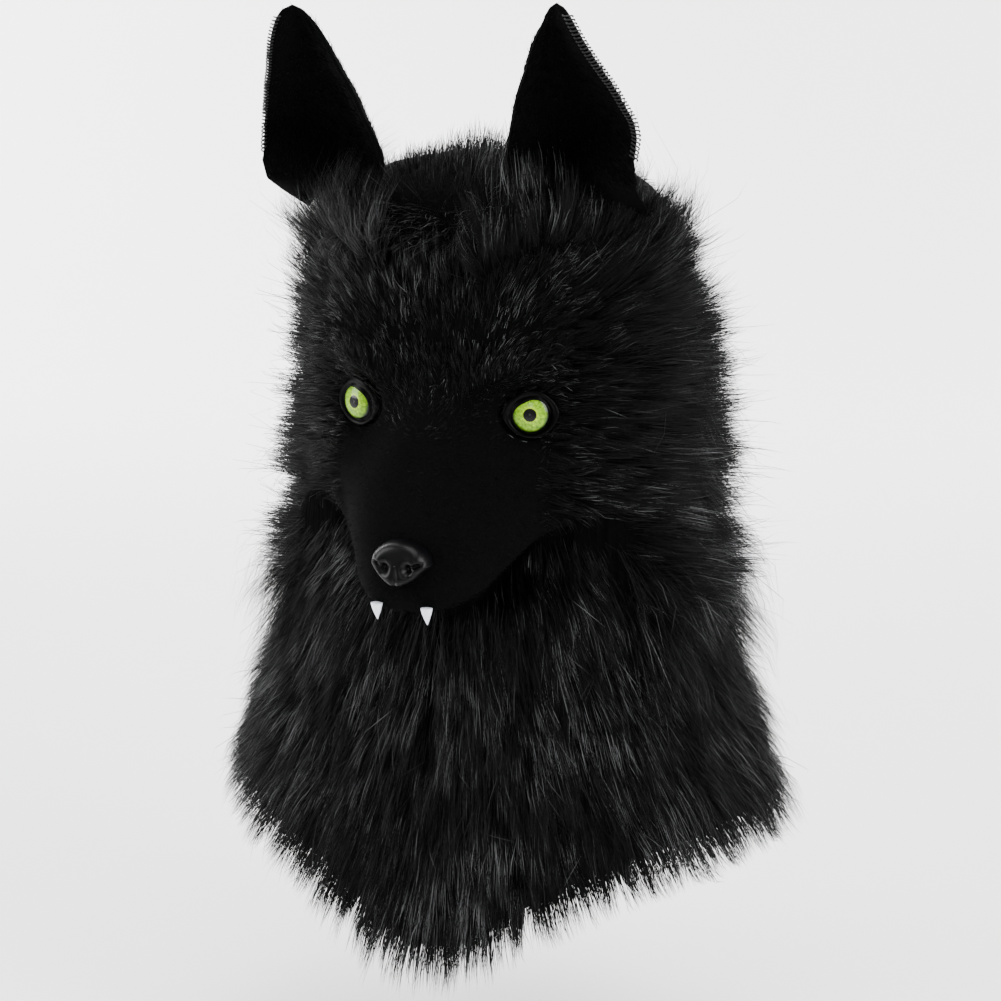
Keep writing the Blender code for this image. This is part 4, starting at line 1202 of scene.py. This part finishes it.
# Short blades over the face, laid by the same field as its fur
def facePile():
    look = pileLook["face"]
    random = np.random.default_rng(look["seed"])
    theta, drop = sprinkled(headWall, (-61 * degrees, 61 * degrees), (0.30, 0.93), look["count"],
                            lambda a, d: clearOfParts(a, d) * (d < lipDrop(a) + 0.002), random)
    path, outs, glintAndTone = combed(headWall, theta, drop, headingField(theta, drop), look["length"] + 0 * theta,
                               look["rise"] + 0 * theta, look, random, steps=3)
    return furPiece("facePile", path, outs, glintAndTone, look, random, shortPile)


# Short blades over both faces of an ear, pointing to its tip
def earPile(side, word):
    look = pileLook["ear"]
    random = np.random.default_rng(look["seed"] + side)
    count = look["count"]
    height = 1 - np.sqrt(random.uniform(0.0, 1.0, count))
    across = random.uniform(-1, 1, count)
    length = look["length"] * random.uniform(0.6, 1.2, count)
    face = np.where(random.random(count) < 0.55, 1.0, -1.0)
    middle, ahead, half, fold = earSkin(side, across, height)
    outs = ahead * face[:, None]
    root = middle + outs * (half + 0.0014 * fold * (face > 0))[:, None]
    tipWay = unit(np.array(earShape["tip"]) * np.array([side, 1, 1]) - root)
    tipWay = unit(tipWay + random.normal(0, 0.25, (count, 3)))
    t = np.linspace(0, 1, 3)[None, :, None]
    path = (root[:, None] + tipWay[:, None] * length[:, None, None] * t
            + outs[:, None] * look["rise"] * t**0.6)
    # Random tone per strand, which the short pile material also turns into a painted sheen at the tips
    glintAndTone = np.clip(random.beta(1.2, 3.0, count), 0, 1)
    outs = np.repeat(outs[:, None], 3, 1)
    return furPiece("earPile" + word, path, outs, glintAndTone, look, random, shortPile)


facePile()
for side, word in ((1, "Left"), (-1, "Right")):
    earPile(side, word)
print("short pile made")


# Floor, light and camera
cameraView = {
    "azimuth": math.radians(24.5), "elevation": math.radians(12), "distance": 1.5, "lens": 79.0,
    "sensor": 36.0, "target": (0.0, 0.0, -0.220),
}
paper = {"height": -0.62, "half": 6.0, "bend": 3.0, "bendRadius": 2.0, "wallHeight": 6.0,
         "colour": "#f6f6f6"}
softboxes = {
    "sideRight": {"at": (1.35, -0.35, 0.45), "to": (0, 0, -0.2), "size": (0.7, 1.3), "power": 40},
    "sideLeft": {"at": (-1.3, -0.75, 0.40), "to": (0, 0, -0.2), "size": (0.7, 1.3), "power": 36},
    "top": {"at": (0.1, -0.3, 1.5), "to": (0, 0, -0.2), "size": (1.0, 1.0), "power": 24},
    "front": {"at": (0.5, -1.9, 0.5), "to": (0, 0, -0.2), "size": (0.5, 0.5), "power": 7},
    "backdropLeft": {"at": (-3.2, 1.6, 1.6), "to": (-1.6, 4.6, 0.2), "size": (2.0, 2.0), "power": 300},
    "backdropRight": {"at": (1.4, 3.2, 1.6), "to": (-2.2, 4.6, 0.2), "size": (2.0, 2.0), "power": 215},
    "floor": {"at": (-0.6, 1.4, 2.2), "to": (-0.6, 1.4, 0.0), "size": (2.4, 2.4), "power": 125},
}
roomLight = {"colour": "#ffffff", "strength": 0.45}


# Turn that points an object's -Z along a direction with its +Y up: a tilt of acos(-z) about X, then
# atan2(-x, y) about Z
def directionTurn(way):
    x, y, z = unit(np.array(way, float))
    return (math.acos(min(max(-z, -1.0), 1.0)), 0.0, math.atan2(-x, y))


# Pale paper, turned to face the camera: level, then a quarter circle, then straight up
def studioFloor():
    made, _, _ = newMaterial("paleStudioPaper", Base_Color=linearColour(paper["colour"]), Roughness=0.9)
    bend, radius = paper["bend"], paper["bendRadius"]
    quarter = np.linspace(0, math.pi / 2, 14)[1:]
    y = np.concatenate([np.linspace(-paper["half"], bend, 12), bend + radius * np.sin(quarter),
                        np.full(4, bend + radius)])
    z = np.concatenate([np.zeros(12), radius - radius * np.cos(quarter),
                        np.linspace(radius, paper["wallHeight"], 5)[1:]])
    x = np.linspace(-paper["half"], paper["half"], 12)[None, :]
    turn = cameraView["azimuth"]
    across, along = x + 0 * y[:, None], y[:, None] + 0 * x
    points = np.stack([across * math.cos(turn) - along * math.sin(turn),
                       across * math.sin(turn) + along * math.cos(turn),
                       z[:, None] + paper["height"] + 0 * x], -1)
    floor = meshPiece("floor", points, [gridQuads(len(y), x.shape[1])[:, ::-1]], made)


# Two side softboxes, one on top, a weak front one, and three that light the paper alone
def studioLights():
    for name, values in softboxes.items():
        lamp = bpy.data.lights.new(name, "AREA")
        lamp.shape = "RECTANGLE"
        lamp.size, lamp.size_y = values["size"]
        lamp.energy = values["power"]
        holder = bpy.data.objects.new(name, lamp)
        bpy.context.scene.collection.objects.link(holder)
        holder.location = values["at"]
        holder.rotation_euler = directionTurn(np.subtract(values["to"], values["at"]))
    world = bpy.data.worlds.new("studio")
    bpy.context.scene.world = world
    world.use_nodes = True
    background = world.node_tree.nodes["Background"]
    background.inputs["Color"].default_value = linearColour(roomLight["colour"])
    background.inputs["Strength"].default_value = roomLight["strength"]


# The photograph's view: the camera stands back from the target by azimuth from the face and elevation
def viewCamera():
    azimuth, elevation = cameraView["azimuth"], cameraView["elevation"]
    back = np.array([math.sin(azimuth) * math.cos(elevation), -math.cos(azimuth) * math.cos(elevation),
                     math.sin(elevation)])
    data = bpy.data.cameras.new("camera")
    data.lens = cameraView["lens"]
    data.sensor_width = cameraView["sensor"]
    camera = bpy.data.objects.new("camera", data)
    bpy.context.scene.collection.objects.link(camera)
    camera.location = np.array(cameraView["target"]) + back * cameraView["distance"]
    camera.rotation_euler = directionTurn(-back)
    bpy.context.scene.camera = camera


studioFloor()
studioLights()
viewCamera()
print("studio ready")
